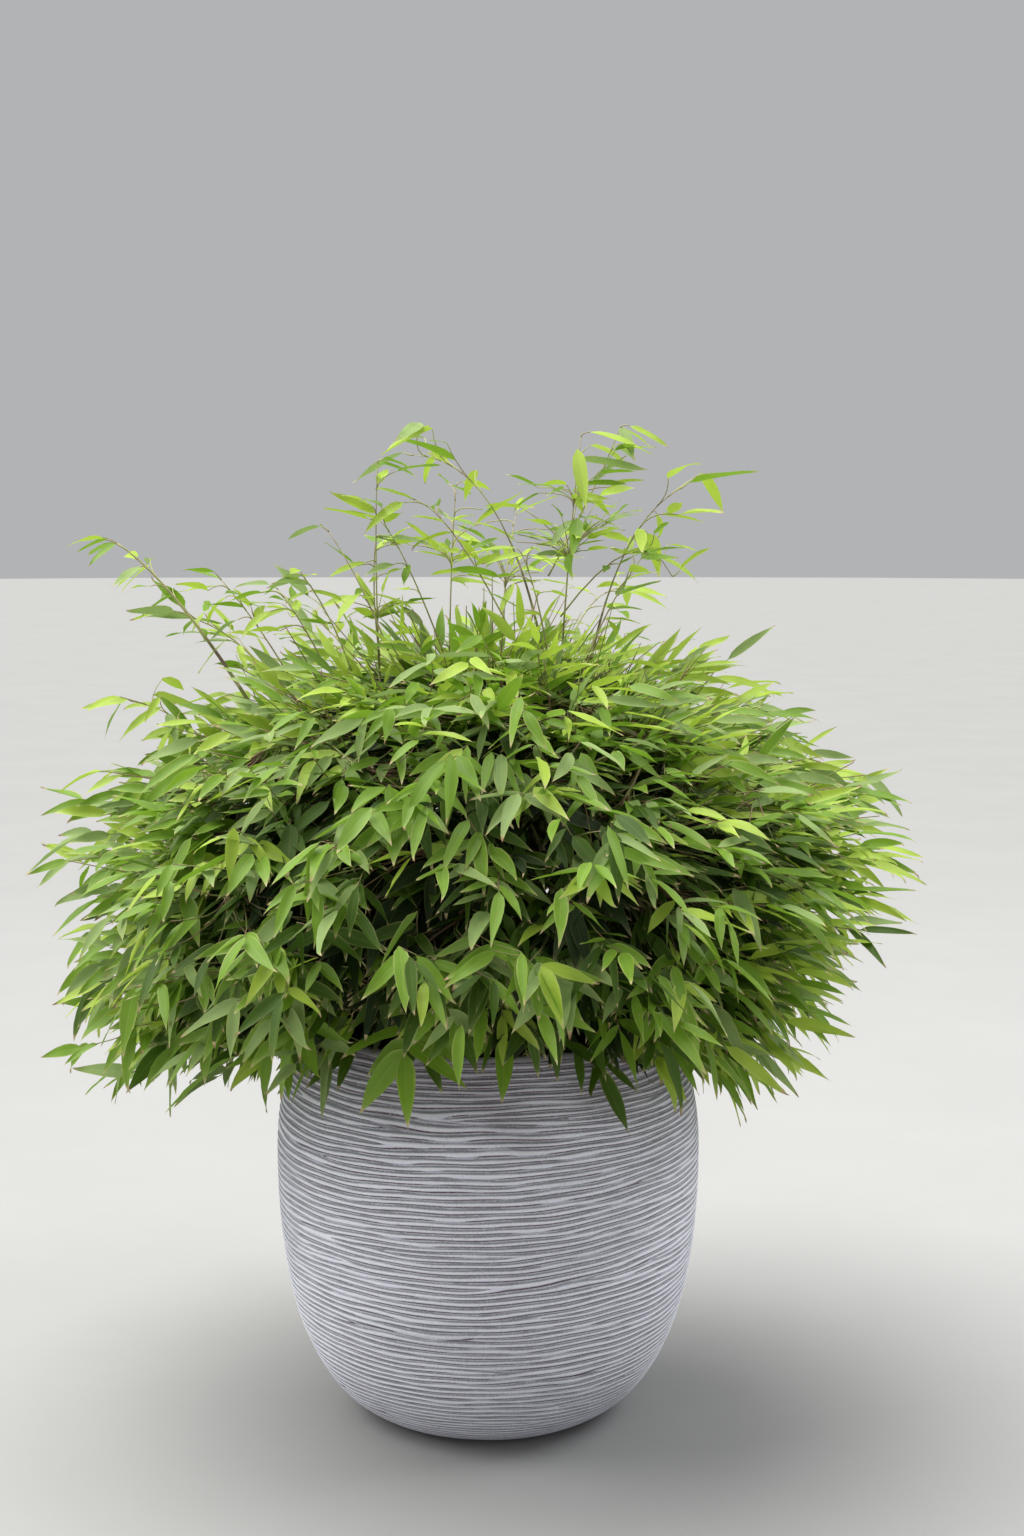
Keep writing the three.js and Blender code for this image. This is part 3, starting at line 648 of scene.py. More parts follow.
def twig_way(azimuth, elevation, seed, far):
    """The course and pitch of each twig's leaves: outwards, hanging more in front and behind than at
    the sides, combed on the right, and swayed to and fro."""
    combed = side(azimuth, 62, 36) * (elevation < COMBED_BELOW)
    loose = 26 * (1 - 0.5 * combed)
    front = np.cos(np.radians(azimuth)) ** 2
    hang = 33 * front * np.clip((60 - elevation) / 34, 0, 1) * (1 - 0.7 * combed)
    pitch = leaf_pitch(elevation) + 3 - hang + loose * sway(seed, 1) + 16 * far + 5 * combed
    course = azimuth + 32 * side(azimuth, 50, 30) * (elevation < COMBED_BELOW) - 16 * side(azimuth, -55, 26)
    return course + loose * sway(seed, 5), np.maximum(pitch, STEEPEST)


def grow_mass(sizes, stem, azimuths, elevations, boughs, twigs, seed):
    """One mass, grown on from the end of its cane: a stem, boughs to the source's spray places, and
    finer twigs to places between them, each from the nearest bough, with a fan of leaves."""
    b_azimuth, b_elevation, bough = grow_boughs(stem[2], azimuths, elevations, boughs, seed)
    azimuth, elevation = spread_places(twigs, azimuths, elevations, -0.03, True)
    seeds = seed + 7.31 * np.arange(twigs) + 19
    azimuth = azimuth + 3.5 * sway(seeds, 150)
    elevation = elevation + 3 * sway(seeds, 151)
    fringe = np.clip(-elevation / 8, 0, 1) * side(azimuth, 0, 60)
    hanging = draw(seeds, 156) < 0.13
    elevation = elevation + fringe * (3 - 16 * hanging + 5 * side(azimuth, -26, 16))
    depth, far = twig_depth(azimuth, elevation, seeds)
    course, pitch = twig_way(azimuth, elevation, seeds, far)
    long = 0.88 + 0.26 * draw(seeds, 7) + 0.10 * side(azimuth, 80, 44)
    length = sizes.leaf_length * long * (1 - 0.10 * np.clip(elevation / 50, 0, 1))
    slim = 1 - 0.20 * np.clip((elevation - 26) / 30, 0, 1) - 0.26 * side(azimuth, 80, 44)
    lean = 36 * (side(azimuth, 88, 42) - side(azimuth, -88, 42))

    end = crown_point(azimuth, elevation, depth) - heading(course, pitch) * 0.9 * length[:, None]
    away = (np.cos(np.radians(elevation))[:, None] * (azimuth[:, None] - b_azimuth[None])) ** 2
    nearest = np.argmin(away + (elevation[:, None] - b_elevation[None]) ** 2, axis=1)
    share = (0.30 + 0.65 * draw(seeds, 153))[:, None]
    root = bezier(*(control[nearest] for control in bough), share)[:, 0]
    on = unit(bough[2] - bough[1])[nearest]
    bend = root + on * 0.42 * np.linalg.norm(end - root, axis=1, keepdims=True)
    path = bezier(root, bend, end, np.linspace(0, 1, 6)[None] + 0 * share)
    ok = clear_of_pot(path, TWIG_GAP) & ((draw(seeds, 157) > 0.44 * fringe) | hanging)

    curve = (root[ok], bend[ok], end[ok])
    seeds = seeds[ok]
    kind, other = kinds_of(seeds, azimuth[ok], elevation[ok], depth[ok])
    count = 3 + np.floor(3 * draw(seeds, 8)).astype(int)
    step = 0.004 + 0.007 * draw(seeds, 9)
    leaf = fans(
        sizes, curve, seeds, course[ok], pitch[ok], count, length[ok], slim[ok], lean[ok], step, kind, other
    )
    return leaf, [tuple(control[None] for control in stem), bough], curve


def hanging_sprays(sizes):
    """The sprays that hang over the rim, each on a twig that arches out from inside the skirt."""
    azimuth, radius, height, pitch, count, size = HANGING.T
    seed = 8000 + 9.7 * np.arange(len(HANGING))
    end = at(azimuth, radius, height)
    root = at(azimuth + 6 * sway(seed, 1), radius - 0.085, height + 0.036)
    bend = at(azimuth, radius - 0.020, height + 0.040)
    like = np.ones(len(HANGING))
    kind = np.where(draw(seed, 2) < 0.4, BRIGHT_YOUNG_AND_LIT, FRESH)
    leaf = fans(
        sizes, (root, bend, end), seed, azimuth, pitch, count, size * sizes.leaf_length, like, 0 * like,
        0.005 * like, kind, np.where(draw(seed, 3) < 0.5, GLAUCOUS_AND_SHEEN, FRESH),
    )
    return leaf, (root, bend, end)


def bars(curves, root_radius, tip_radius, steps, sides):
    """Tapering round bars along quadratic curves."""
    a, b, c = (np.concatenate(part) for part in zip(*curves))
    t = np.linspace(0, 1, steps)[None] + np.zeros((len(a), 1))
    radius = root_radius + (tip_radius - root_radius) * t
    return tubes(bezier(a, b, c, t), radius, sides)


def straws(count, elevations, seed):
    """Bare straight twig ends that stand out of the crown, rising a little more than its leaves."""
    azimuth, elevation = spread_places(count, (-180, 180), elevations, 0)
    seeds = seed + np.arange(count)
    root = crown_point(azimuth, elevation, 0.74 + 0.1 * draw(seeds, 1))
    way = heading(azimuth + 40 * sway(seeds, 2), leaf_pitch(elevation) + 26 + 22 * sway(seeds, 3))
    long = (0.05 + 0.05 * draw(seeds, 4))[:, None]
    return root, root + way * long * 0.5, root + way * long - np.array([0, 0, 0.004])


def dress(name, leaves, thick, thin, nodes, finishes, twig_finish, radii=BOUGH_RADII):
    """Makes the pieces of leaves and of twigs that replace some masses. radii are those of the thick
    curves, at the root and at the tip."""
    corners, faces, kind, uv = blades(settled(merged(leaves)))
    piece = put_mesh(name + "_leaves", corners, faces, finishes, kind, uv)
    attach(piece, "root")
    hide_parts(*nodes)
    wood = bars(thick, *radii, steps=9, sides=6)
    fine = bars(thin, *TWIG_RADII, steps=6, sides=4)
    corners, faces = joined([wood, fine])
    piece = put_mesh(name + "_twigs", corners, faces, [twig_finish])
    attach(piece, "root")
    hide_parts(*nodes)


# Finishes


class Wire:
    """A socket that can be reckoned with: an operator adds the Math node that it stands for."""

    def __init__(self, finish, socket):
        self.finish, self.socket = finish, socket

    def _math(self, operation, *values):
        return self.finish.node("ShaderNodeMath", {"operation": operation}, dict(enumerate(values)))

    def __add__(self, other):
        return self._math("ADD", self, other)

    def __radd__(self, other):
        return self._math("ADD", other, self)

    def __sub__(self, other):
        return self._math("SUBTRACT", self, other)

    def __rsub__(self, other):
        return self._math("SUBTRACT", other, self)

    def __mul__(self, other):
        return self._math("MULTIPLY", self, other)

    def __truediv__(self, other):
        return self._math("DIVIDE", self, other)

    def __abs__(self):
        return self._math("ABSOLUTE", self)

    def sine(self):
        return self._math("SINE", self)

    def atan2(self, other):
        return self._math("ARCTAN2", self, other)

    def over(self, edge, width):
        """0 below an edge and 1 above it, smoothly over a width."""
        values = {0: self, 1: edge - width / 2, 2: edge + width / 2, 3: 0.0, 4: 1.0}
        return self.finish.node("ShaderNodeMapRange", {"interpolation_type": "SMOOTHSTEP"}, values)

    def out(self, name):
        """Another output of the same node."""
        return Wire(self.finish, self.socket.node.outputs[name])


class Finish:
    """A procedural material in the making: its nodes are added one by one and joined as they come."""

    def __init__(self, name):
        self.material = bpy.data.materials.new(name)
        self.material.use_nodes = True
        self.material.node_tree.nodes.clear()

    def node(self, kind, settings=None, values=None):
        """Adds a node: its settings first, then its values and links."""
        tree = self.material.node_tree
        node = tree.nodes.new(kind)
        for key, value in (settings or {}).items():
            setattr(node, key, value)
        for key, value in (values or {}).items():
            if isinstance(value, Wire):
                tree.links.new(value.socket, node.inputs[key])
            else:
                node.inputs[key].default_value = value
        enabled = [socket for socket in node.outputs if socket.enabled]
        return Wire(self, enabled[0]) if enabled else None

    def place(self):
        """The place on the object, in its own coordinates."""
        return self.node("ShaderNodeTexCoord").out("Object")

    def leaf_place(self):
        """How far across and how far along a leaf, each from 0 to 1."""
        uv = self.node("ShaderNodeUVMap", {"uv_map": "leaf"})
        parts = self.node("ShaderNodeSeparateXYZ", None, {0: uv})
        return parts.out("X"), parts.out("Y")

    def value(self, name):
        """A value that the mesh carries."""
        return self.node("ShaderNodeAttribute", {"attribute_name": name}).out("Fac")

    def noise(self, where, scale, detail=3.0, rough=0.55, stretch=None):
        """Noise from 0 to 1, drawn out along an axis where stretch says."""
        if stretch is not None:
            where = self.node("ShaderNodeMapping", None, {"Vector": where, "Scale": stretch})
        values = {"Vector": where, "Scale": scale, "Detail": detail, "Roughness": rough}
        return self.node("ShaderNodeTexNoise", None, values)

    def mix(self, share, first, second):
        """A share of the way from one colour to another."""
        settings = {"data_type": "RGBA", "clamp_factor": True}
        return self.node("ShaderNodeMix", settings, {0: share, 6: first, 7: second}).out(2)

    def bumps(self, height, strength, distance):
        """A surface that stands up and down with a height."""
        values = {"Strength": strength, "Distance": distance, "Height": height}
        return self.node("ShaderNodeBump", None, values)

    def shader(self, colour, roughness, normal=None, settings=None, thin=None):
        """Closes the material with a Principled shader, and where thin gives a colour and a share,
        with light that comes through the leaf."""
        values = {"Base Color": colour, "Roughness": roughness, **(settings or {})}
        if normal is not None:
            values["Normal"] = normal
        surface = self.node("ShaderNodeBsdfPrincipled", None, values)
        if thin is not None:
            through = self.node("ShaderNodeBsdfTranslucent", None, {"Color": thin[0]})
            surface = self.node("ShaderNodeMixShader", None, {0: thin[1], 1: surface, 2: through})
        self.node("ShaderNodeOutputMaterial", None, {"Surface": surface})
        return self.material


def rgba(colour):
    """A colour with a full fourth part."""
    return (*tuple(colour)[:3], 1.0)


def shade(colour, by):
    """A colour made lighter or darker."""
    return tuple(min(1.0, c * by) for c in tuple(colour)[:3]) + (1.0,)


def pot_finish(look):
    """Pale cast stone, combed: the stone's own grey, with painted light on the pale crests and a fine
    painted highlight on each, painted shade in the greyer furrows, a thin painted shadow line under
    each rib, a sandy stipple, washed-out patches, and painted shade high on the pot under the crown and
    inside it. The ribs' phase, from -1/2 to 1/2 with the crest at 0, is the arc tangent of the two
    parts that the mesh carries."""
    f = Finish("combed_stone")
    where = f.place()
    worn = f.value("worn")
    crown_shade = f.value("crown_shade")
    phase = f.value("rib_sin").atan2(f.value("rib_cos")) / 6.2832
    patches = f.noise(where, 7.0, 4.0, 0.6, (1, 1, 2.2))
    streaks = f.noise(where, 26.0, 4.0, 0.65, (1, 1, 6))
    grains = f.noise(where, 620.0, 2.0, 0.7)
    specks = f.noise(where, 1400.0, 1.0, 0.5)
    uneven = (streaks - 0.5) * 0.16
    # pale crests and grey furrows: the stone's own colour, with painted light on the crests and painted
    # shade in the furrows; the crests narrow in the painted shade under the crown
    crest = 1 - (abs(phase + uneven) - worn * 0.14 + crown_shade * 0.05).over(0.20, 0.20)
    colour = f.mix(crest, rgba(look.furrow_colour), rgba(look.crest_colour))
    # a fine painted highlight along each crest
    fine = 1 - abs(phase - 0.06 + uneven).over(0.065, 0.07)
    colour = f.mix(fine * (0.25 + streaks), colour, shade(look.crest_colour, 1.20))
    colour = f.mix(patches.over(0.60, 0.25) * 0.30, colour, shade(look.furrow_colour, 1.15))
    second = (1 - abs(abs(phase + uneven) - 0.47).over(0.05, 0.07)) * streaks.over(0.46, 0.16)
    colour = f.mix(second * 0.55, colour, rgba(look.crest_colour))
    # a thin painted shadow line under each rib
    line = (1 - abs(phase + 0.30 + uneven).over(0.085, 0.07)) * (1 - worn.over(0.5, 0.5)) * (0.4 + streaks)
    colour = f.mix(line * 0.95, colour, rgba(look.shadow_line_colour))
    colour = f.mix(grains.over(0.60, 0.16) * 0.30, colour, shade(look.crest_colour, 1.25))
    colour = f.mix((1 - grains).over(0.62, 0.16) * 0.30, colour, shade(look.furrow_colour, 0.72))
    # painted shade: darker high on the pot under the crown, and all over its inside
    colour = f.mix(crown_shade * 0.42, colour, shade(look.shadow_line_colour, 1.25))
    stone = f.bumps(grains * 0.6 + specks * 0.3 + streaks * 0.4 + crest * 0.7, 0.40, 0.0011)
    return f.shader(colour, 0.80 + patches * 0.16, stone, {"Specular IOR Level": 0.3})


def soil_finish(look):
    """Dark potting soil: near-black crumbs with brown ones and a few pale fibres."""
    f = Finish("potting_soil")
    where = f.place()
    crumbs = f.noise(where, 160.0, 5.0, 0.7)
    lumps = f.noise(where, 38.0, 3.0, 0.6)
    colour = f.mix(crumbs.over(0.52, 0.3), shade(look.colour, 0.55), shade(look.colour, 1.5))
    colour = f.mix(lumps.over(0.66, 0.1) * 0.5, colour, rgba(look.fibre_colour))
    return f.shader(colour, 0.9 + crumbs * 0.08, f.bumps(crumbs + lumps, 0.8, 0.004))


def cane_finish(look):
    """Green-yellow canes with purplish patches, pale sheaths over the joints and fine long streaks."""
    f = Finish("cane_skin")
    where = f.place()
    tint = f.noise(where, 34.0, 3.0, 0.6)
    streaks = f.noise(where, 240.0, 2.0, 0.6, (1, 1, 0.12))
    colour = f.mix(tint.over(0.55, 0.35), rgba(look.cane_colour), rgba(look.purple_colour))
    colour = f.mix(f.value("joint").over(0.45, 0.5), colour, rgba(look.sheath_colour))
    colour = f.mix(streaks.over(0.55, 0.3) * 0.3, colour, shade(look.sheath_colour, 0.8))
    skin = f.bumps(streaks, 0.25, 0.0008)
    return f.shader(colour, 0.42 + streaks * 0.25, skin, {"Specular IOR Level": 0.45})


def twig_finish(name, colours):
    """Thin twigs: two colours by turns along them."""
    f = Finish(name)
    where = f.place()
    tint = f.noise(where, 46.0, 2.0, 0.5)
    colour = f.mix(tint.over(0.5, 0.3), rgba(colours[0]), rgba(colours[1]))
    return f.shader(colour, 0.5 + tint * 0.2, f.bumps(f.noise(where, 500.0, 1.0), 0.2, 0.0005))


def leaf_finish(name, colour, edge, straw, gloss, through):
    """A leaf: a plain green, a little lighter on one half as painted light on one side of its fold, with a
    pale margin and midrib, long fine veins, clouding at the scale of a leaf, and a tip that has dried a
    little."""
    f = Finish(name)
    across, along = f.leaf_place()
    off = abs(across - 0.5) * 2.0
    where = f.place()
    clouds = f.noise(where, 30.0, 3.0, 0.6)
    veins = (across * 56.0 + clouds * 5.0).sine() * 0.5 + 0.5
    worn = clouds - 0.5
    body = f.mix(clouds.over(0.5, 0.5), shade(colour, 0.82), shade(colour, 1.16))
    body = f.mix(veins * 0.30, body, shade(colour, 1.55))
    # painted light: one half of the folded blade is lighter, as if it faced the light
    body = f.mix(across.over(0.5, 0.03) * 0.22, body, shade(colour, 1.40))
    body = f.mix((1 - off).over(0.94, 0.05) * 0.22, body, rgba(edge))
    body = f.mix((along + worn * 0.5).over(0.86, 0.34) * 0.40, body, rgba(edge))
    margins = f.noise(where, 11.0, 1.0, 0.5).over(0.50, 0.16) * 0.60 + 0.12
    body = f.mix((off + worn * 0.4).over(0.89, 0.14) * margins, body, rgba(edge))
    body = f.mix((along + off * 0.05 + worn * 0.16).over(0.925, 0.05) * 0.9, body, rgba(straw))
    blade = f.bumps(clouds + off * 0.12, 0.20, 0.0008)
    light = (shade(colour, through), 0.30)
    return f.shader(body, gloss + clouds * 0.16, blade, {"Specular IOR Level": 0.36}, light)


def dry_finish(look):
    """Dried leaf: straw, browner towards the tip."""
    f = Finish("dried_leaf")
    along = f.leaf_place()[1]
    clouds = f.noise(f.place(), 90.0, 3.0, 0.6)
    tip = (along + (clouds - 0.5) * 0.3).over(0.93, 0.1)
    colour = f.mix(tip, rgba(look.straw_colour), rgba(look.tip_colour))
    light = (rgba(look.straw_colour), 0.25)
    return f.shader(colour, 0.6 + clouds * 0.2, f.bumps(clouds, 0.3, 0.0008), None, light)


def leaf_finishes(look):
    """The leaf finishes, in the order of their kinds."""
    edge, straw = look.edge_colour, look.straw_colour
    return [
        leaf_finish("leaf_fresh", look.fresh_colour, edge, straw, 0.42, 1.5),
        # painted shade: the deep and inner greens, with their margins and straw darkened to match; the
        # bright green's margin is lightened as painted light
        leaf_finish("leaf_deep_shaded", look.deep_shaded_colour, shade(edge, 0.6), straw, 0.50, 1.5),
        leaf_finish("leaf_young_and_lit", look.young_and_lit_colour, shade(edge, 1.1), straw, 0.42, 1.4),
        leaf_finish("leaf_glaucous_and_sheen", look.glaucous_and_sheen_colour, edge, straw, 0.56, 1.2),
        dry_finish(look),
        leaf_finish("leaf_inner_shaded", look.inner_shaded_colour, shade(edge, 0.3), shade(straw, 0.4), 0.6, 1.2),
    ]


# Settings


def colour_property(name, about, default):
    """A colour that a user would change."""
    return bpy.props.FloatVectorProperty(
        name=name, description=about, subtype="COLOR", size=3, min=0, max=1, default=default
    )


def number_property(name, about, default, unit="NONE"):
    """A number of a unit that a user would change."""
    return bpy.props.FloatProperty(name=name, description=about, default=default, min=0, unit=unit)


def length_property(name, about, default):
    """A length in metres."""
    return number_property(name, about, default, "LENGTH")


def count_property(name, about, default):
    """How many there are of something."""
    return bpy.props.IntProperty(name=name, description=about, default=default, min=1)


class BambooPotSettings(bpy.types.PropertyGroup):
    """The pot."""

    rib_pitch: length_property("Rib pitch", "From one combed rib to the next", 0.0063)
    rib_depth: length_property("Rib depth", "How deep the furrows are", 0.0014)
    # crests and furrows: the stone's own greys, with painted light on the crests and painted shade in the
    # furrows
    crest_colour: colour_property("Crests", "Colour of the ribs", (0.84, 0.845, 0.97))
    furrow_colour: colour_property("Furrows", "Colour between the ribs", (0.305, 0.31, 0.35))
    # the line under each rib is a painted shadow, and a lighter copy of its colour is the painted shade
    # under the crown
    shadow_line_colour: colour_property("Lines", "Colour of the thin line under each rib", (0.070, 0.028, 0.032))


class BambooSoilSettings(bpy.types.PropertyGroup):
    """The soil."""

    crumb: length_property("Crumbs", "How high the crumbs of soil stand", 0.0022)
    colour: colour_property("Soil", "Colour of the soil", (0.028, 0.020, 0.014))
    fibre_colour: colour_property("Fibres", "Colour of the fibres in the soil", (0.13, 0.085, 0.05))


class BambooCaneSettings(bpy.types.PropertyGroup):
    """Canes and twigs."""

    joint_spacing: length_property("Joints", "From one joint of a cane to the next", 0.046)
    cane_colour: colour_property("Cane", "Colour of the canes", (0.20, 0.25, 0.06))
    purple_colour: colour_property("Purple", "Colour of the patches on canes", (0.13, 0.07, 0.06))
    sheath_colour: colour_property("Sheaths", "Colour of the sheaths over the joints", (0.46, 0.38, 0.22))
    shoot_colour: colour_property("Shoots", "Colour of the young stems", (0.40, 0.42, 0.14))
    twig_colour: colour_property("Twigs", "Colour of the twigs", (0.24, 0.125, 0.085))


class BambooLeafSettings(bpy.types.PropertyGroup):
    """Leaves and how densely they grow."""

    leaf_length: length_property("Leaf length", "Length of a usual leaf", 0.0560)
    leaf_width: length_property("Leaf width", "Width of a usual leaf", 0.0140)
    skirt_twigs: count_property("Skirt twigs", "Twigs in a mass of the skirt", 225)
    middle_twigs: count_property("Middle twigs", "Twigs in a middle mass", 270)
    upper_twigs: count_property("Upper twigs", "Twigs in an upper mass", 310)
    top_twigs: count_property("Top twigs", "Twigs in the top mass", 210)
    fresh_colour: colour_property("Fresh", "Most leaves", (0.160, 0.288, 0.022))
    # deep and inner greens are painted shade: deep for leaves further in and low in front, inner for those
    # deepest in
    deep_shaded_colour: colour_property("Deep", "Older leaves", (0.052, 0.110, 0.007))
    inner_shaded_colour: colour_property("Inner", "Leaves deep inside the crown", (0.014, 0.034, 0.005))
    # bright: young leaves, and painted light high up and at the sides
    young_and_lit_colour: colour_property("Bright", "Young leaves", (0.335, 0.470, 0.050))
    # glaucous: dusty leaves, and a painted sheen on the front left
    glaucous_and_sheen_colour: colour_property("Glaucous", "Undersides and dusty leaves", (0.245, 0.350, 0.112))
    edge_colour: colour_property("Margins", "Pale leaf edges", (0.52, 0.54, 0.18))
    straw_colour: colour_property("Straw", "Dried leaves and tips", (0.56, 0.45, 0.24))
    tip_colour: colour_property("Brown tips", "The very tips of dried leaves", (0.26, 0.15, 0.07))


class BambooStageSettings(bpy.types.PropertyGroup):
    """Floor, light and camera."""

    floor_colour: colour_property("Floor", "Colour of the floor", (0.34, 0.34, 0.335))
    sky_strength: number_property("Sky", "Strength of the light all round", 0.46)
    overcast: number_property("Overcast", "Strength of the soft light from above", 4.9)
    lamp_power: number_property("Side lamps", "Power of the lamps at the sides", 43, "POWER")
    lens: number_property("Lens", "Focal length of the camera in millimetres", 51.14)


SETTINGS = {
    "bamboo_pot": BambooPotSettings,
    "bamboo_soil": BambooSoilSettings,
    "bamboo_canes": BambooCaneSettings,
    "bamboo_leaves": BambooLeafSettings,
    "bamboo_stage": BambooStageSettings,
}


# Operators


def ripples(angle, along, turns, waves, seed):
    """A sum of sines that closes round the pot: whole turns of the angle, and waves of the height."""
    total = 0
    for n, (turn, wave) in enumerate(zip(turns, waves)):
        total = total + np.sin(turn * angle + wave * along + 6.283 * draw(seed, n))
    return total / len(turns)


def comb(angle, along, pitch):
    """The ribs' phase in turns: height over pitch, bent by slow ripples, with rib endings. An ending
    is the argument of the sine of a complex number whose parts are angle and stretched height, as
    many of either sign, so that the phase closes round the pot to a whole number."""
    phase = along / pitch + 0.40 * ripples(angle, along, (2, 3, 5), (9, 17, -23), 1)
    phase = phase + 0.15 * ripples(angle, along, (7, 11, 16), (40, -65, 90), 2)
    phase = phase + 0.09 * ripples(angle, along, (4, 9, 14, 6), (300, -255, 345, -410), 3)
    for n in range(RIB_ENDINGS):
        a = 2 * np.pi * draw(31, n)
        s = ENDINGS_FROM + ENDINGS_SPAN * draw(37, n)
        z = ((angle - a) + 1j * ENDING_FLATNESS * (along - s) / POT_MEAN_RADIUS) / 2
        phase = phase + (1 if n % 2 else -1) * np.angle(np.sin(z)) / (2 * np.pi)
    return phase


def pot_profile():
    """The pot's profile: out over the foot, up the wall at equal steps of its length, over the round
    lip, down inside and in over the floor. Returns radii, heights, the lengths up the wall, and which
    rows the wall has."""
    fine_z = np.linspace(0.0002, POT_HEIGHT - LIP_ROUND, 6000)
    fine_r = pot_radius(fine_z)
    run = np.concatenate([[0], np.cumsum(np.hypot(np.diff(fine_r), np.diff(fine_z)))])
    arc = np.linspace(0, run[-1], POT_ROWS)
    wall_z, wall_r = np.interp(arc, run, fine_z), np.interp(arc, run, fine_r)
    foot = np.array([0.03, 0.06, 0.085, 0.098, 0.104])
    turn = np.radians(np.array([20, 55, 90, 125, 160]))
    half = (POT_WALL + 0.0006) / 2
    lip_r = RIM_RADIUS - POT_WALL + half + half * np.cos(turn)
    lip_z = POT_HEIGHT - LIP_ROUND + LIP_ROUND * np.sin(turn)
    inner_z = np.array([0.393, 0.38, 0.366, 0.34, 0.30, 0.25, 0.19, 0.12, 0.07, 0.04, 0.022, POT_FLOOR])
    floor = np.array([0.07, 0.03])
    radius = np.concatenate([foot, wall_r, lip_r, pot_radius(inner_z) - POT_WALL, floor])
    height = np.concatenate([0 * foot, wall_z, lip_z, inner_z, 0 * floor + POT_FLOOR])
    return radius, height, arc, slice(len(foot), len(foot) + len(arc))


class BAMBOO_OT_pot(bpy.types.Operator):
    """Build the ribbed pot"""

    bl_idname = "bamboo.pot"
    bl_label = "Pot"

    def execute(self, context):
        look = context.scene.bamboo_pot
        radius, height, arc, wall = pot_profile()
        along = arc[:, None]
        angle = np.linspace(0, 2 * np.pi, POT_COLUMNS, endpoint=False)[None]
        phase = 2 * np.pi * comb(angle, along, look.rib_pitch)
        worn = 0.35 + 1.1 * ripples(angle, along, (6, 9, 13, 17, 21), (260, -330, 410, -520, 610), 5)
        worn = np.clip(worn + 0.3 * ripples(angle, along, (2, 3, 4), (14, -22, 30), 7), 0, 1) ** 2
        rib = 0.5 + 0.5 * np.cos(phase)
        cut = look.rib_depth * (1 - 0.55 * worn) * (1 - rib**0.75)
        ease = np.clip(along / 0.02, 0, 1) * np.clip((arc[-1] - along) / 0.004, 0, 1)
        uneven = 0.0006 * ripples(angle, along, (2, 5, 9), (12, 25, -40), 9)
        patch = 0.5 + 0.5 * ripples(angle, along, (2, 5, 11), (8, 20, 45), 12)
        # painted shade: it rises over the top of the wall, where the crown hangs over it, and is full inside
        # the pot
        crown_shade = np.clip((height[wall, None] - 0.30 - 0.05 * patch) / 0.07, 0, 1)

        relief = np.zeros((len(radius), POT_COLUMNS))
        relief[wall] = -(cut + uneven) * ease
        inside = np.arange(len(radius))[:, None] >= wall.stop
        carried = {
            "rib_cos": (np.cos(phase), 1),
            "rib_sin": (np.sin(phase), 0),
            "worn": (worn, 0.3),
            "crown_shade": (crown_shade, inside),
        }
        values = {}
        for key, (on_wall, elsewhere) in carried.items():
            grid = 0 * relief + elsewhere
            grid[wall] = on_wall
            values[key] = np.concatenate([grid.ravel(), grid[[0, -1], 0]])
        corners, faces = turned(radius, height, POT_COLUMNS, relief)
        piece = put_mesh("ribbed_pot", corners, faces, [pot_finish(look)], values=values)
        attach(piece, "root")
        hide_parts("pot")
        return {"FINISHED"}


class BAMBOO_OT_soil(bpy.types.Operator):
    """Build the soil that fills the pot"""

    bl_idname = "bamboo.soil"
    bl_label = "Soil"

    def execute(self, context):
        look = context.scene.bamboo_soil
        side_z = np.array([SOIL_FLOOR, 0.05, 0.12, 0.25, 0.33, 0.362])
        side_r = pot_radius(side_z) - POT_WALL - SOIL_GAP
        top_r = np.linspace(side_r[-1] - 0.001, 0.002, 60)
        swell = SOIL_SWELL * np.clip((SOIL_SHOULDER - top_r) / SOIL_SLOPE, 0, 1)
        top_z = SOIL_HEIGHT - 0.0005 + swell - look.crumb * 0.6
        radius = np.concatenate([[0.05], side_r, top_r])
        height = np.concatenate([[SOIL_FLOOR], side_z, top_z])
        corners, faces = turned(radius, height, SOIL_COLUMNS)
        x, y, z = corners.T
        waves = ((210, 1), (370, 2.2), (640, 0.7))
        rough = sum(np.sin(f * x + p) * np.sin(1.1 * f * y + 2 * p) for f, p in waves) / len(waves)
        grain = sway(np.arange(len(corners)), 3)
        corners[:, 2] += np.where(z > CRUMBS_ABOVE, look.crumb * (0.5 * rough + 0.5 * grain), 0)
        piece = put_mesh("potting_soil", corners, faces, [soil_finish(look)])
        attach(piece, "root")
        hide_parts("soil")
        return {"FINISHED"}


def layer_cane(spec, n):
    """The azimuth of a layer's nth cane, and its three controls."""
    azimuth = spec["first"] + n * 360 / spec["count"]
    out, high = spec["bend"]
    bend = at(azimuth, out, high + 0.012 * sway(spec["seed"], n))
    return azimuth, (at(azimuth, spec["foot"], CANE_FOOT), bend, at(azimuth, *spec["tip"]))


def shoot_halves():
    """The loose shoots' curves, each cut in two where its leaves begin: the controls of the canes and
    those of the leafy stems. The cut divides both arms of a curve by the same share."""
    foot = at(SHOOTS[:, 0], SHOOTS[:, 1], CANE_FOOT)
    bend = at(SHOOTS[:, 0], SHOOTS[:, 2], SHOOTS[:, 3])
    tip = at(SHOOTS[:, 4], SHOOTS[:, 5], SHOOTS[:, 6])
    t = SHOOT_START
    cut = (1 - t) ** 2 * foot + 2 * t * (1 - t) * bend + t**2 * tip
    return (foot, foot + t * (bend - foot), cut), (cut, bend + t * (tip - bend), tip)


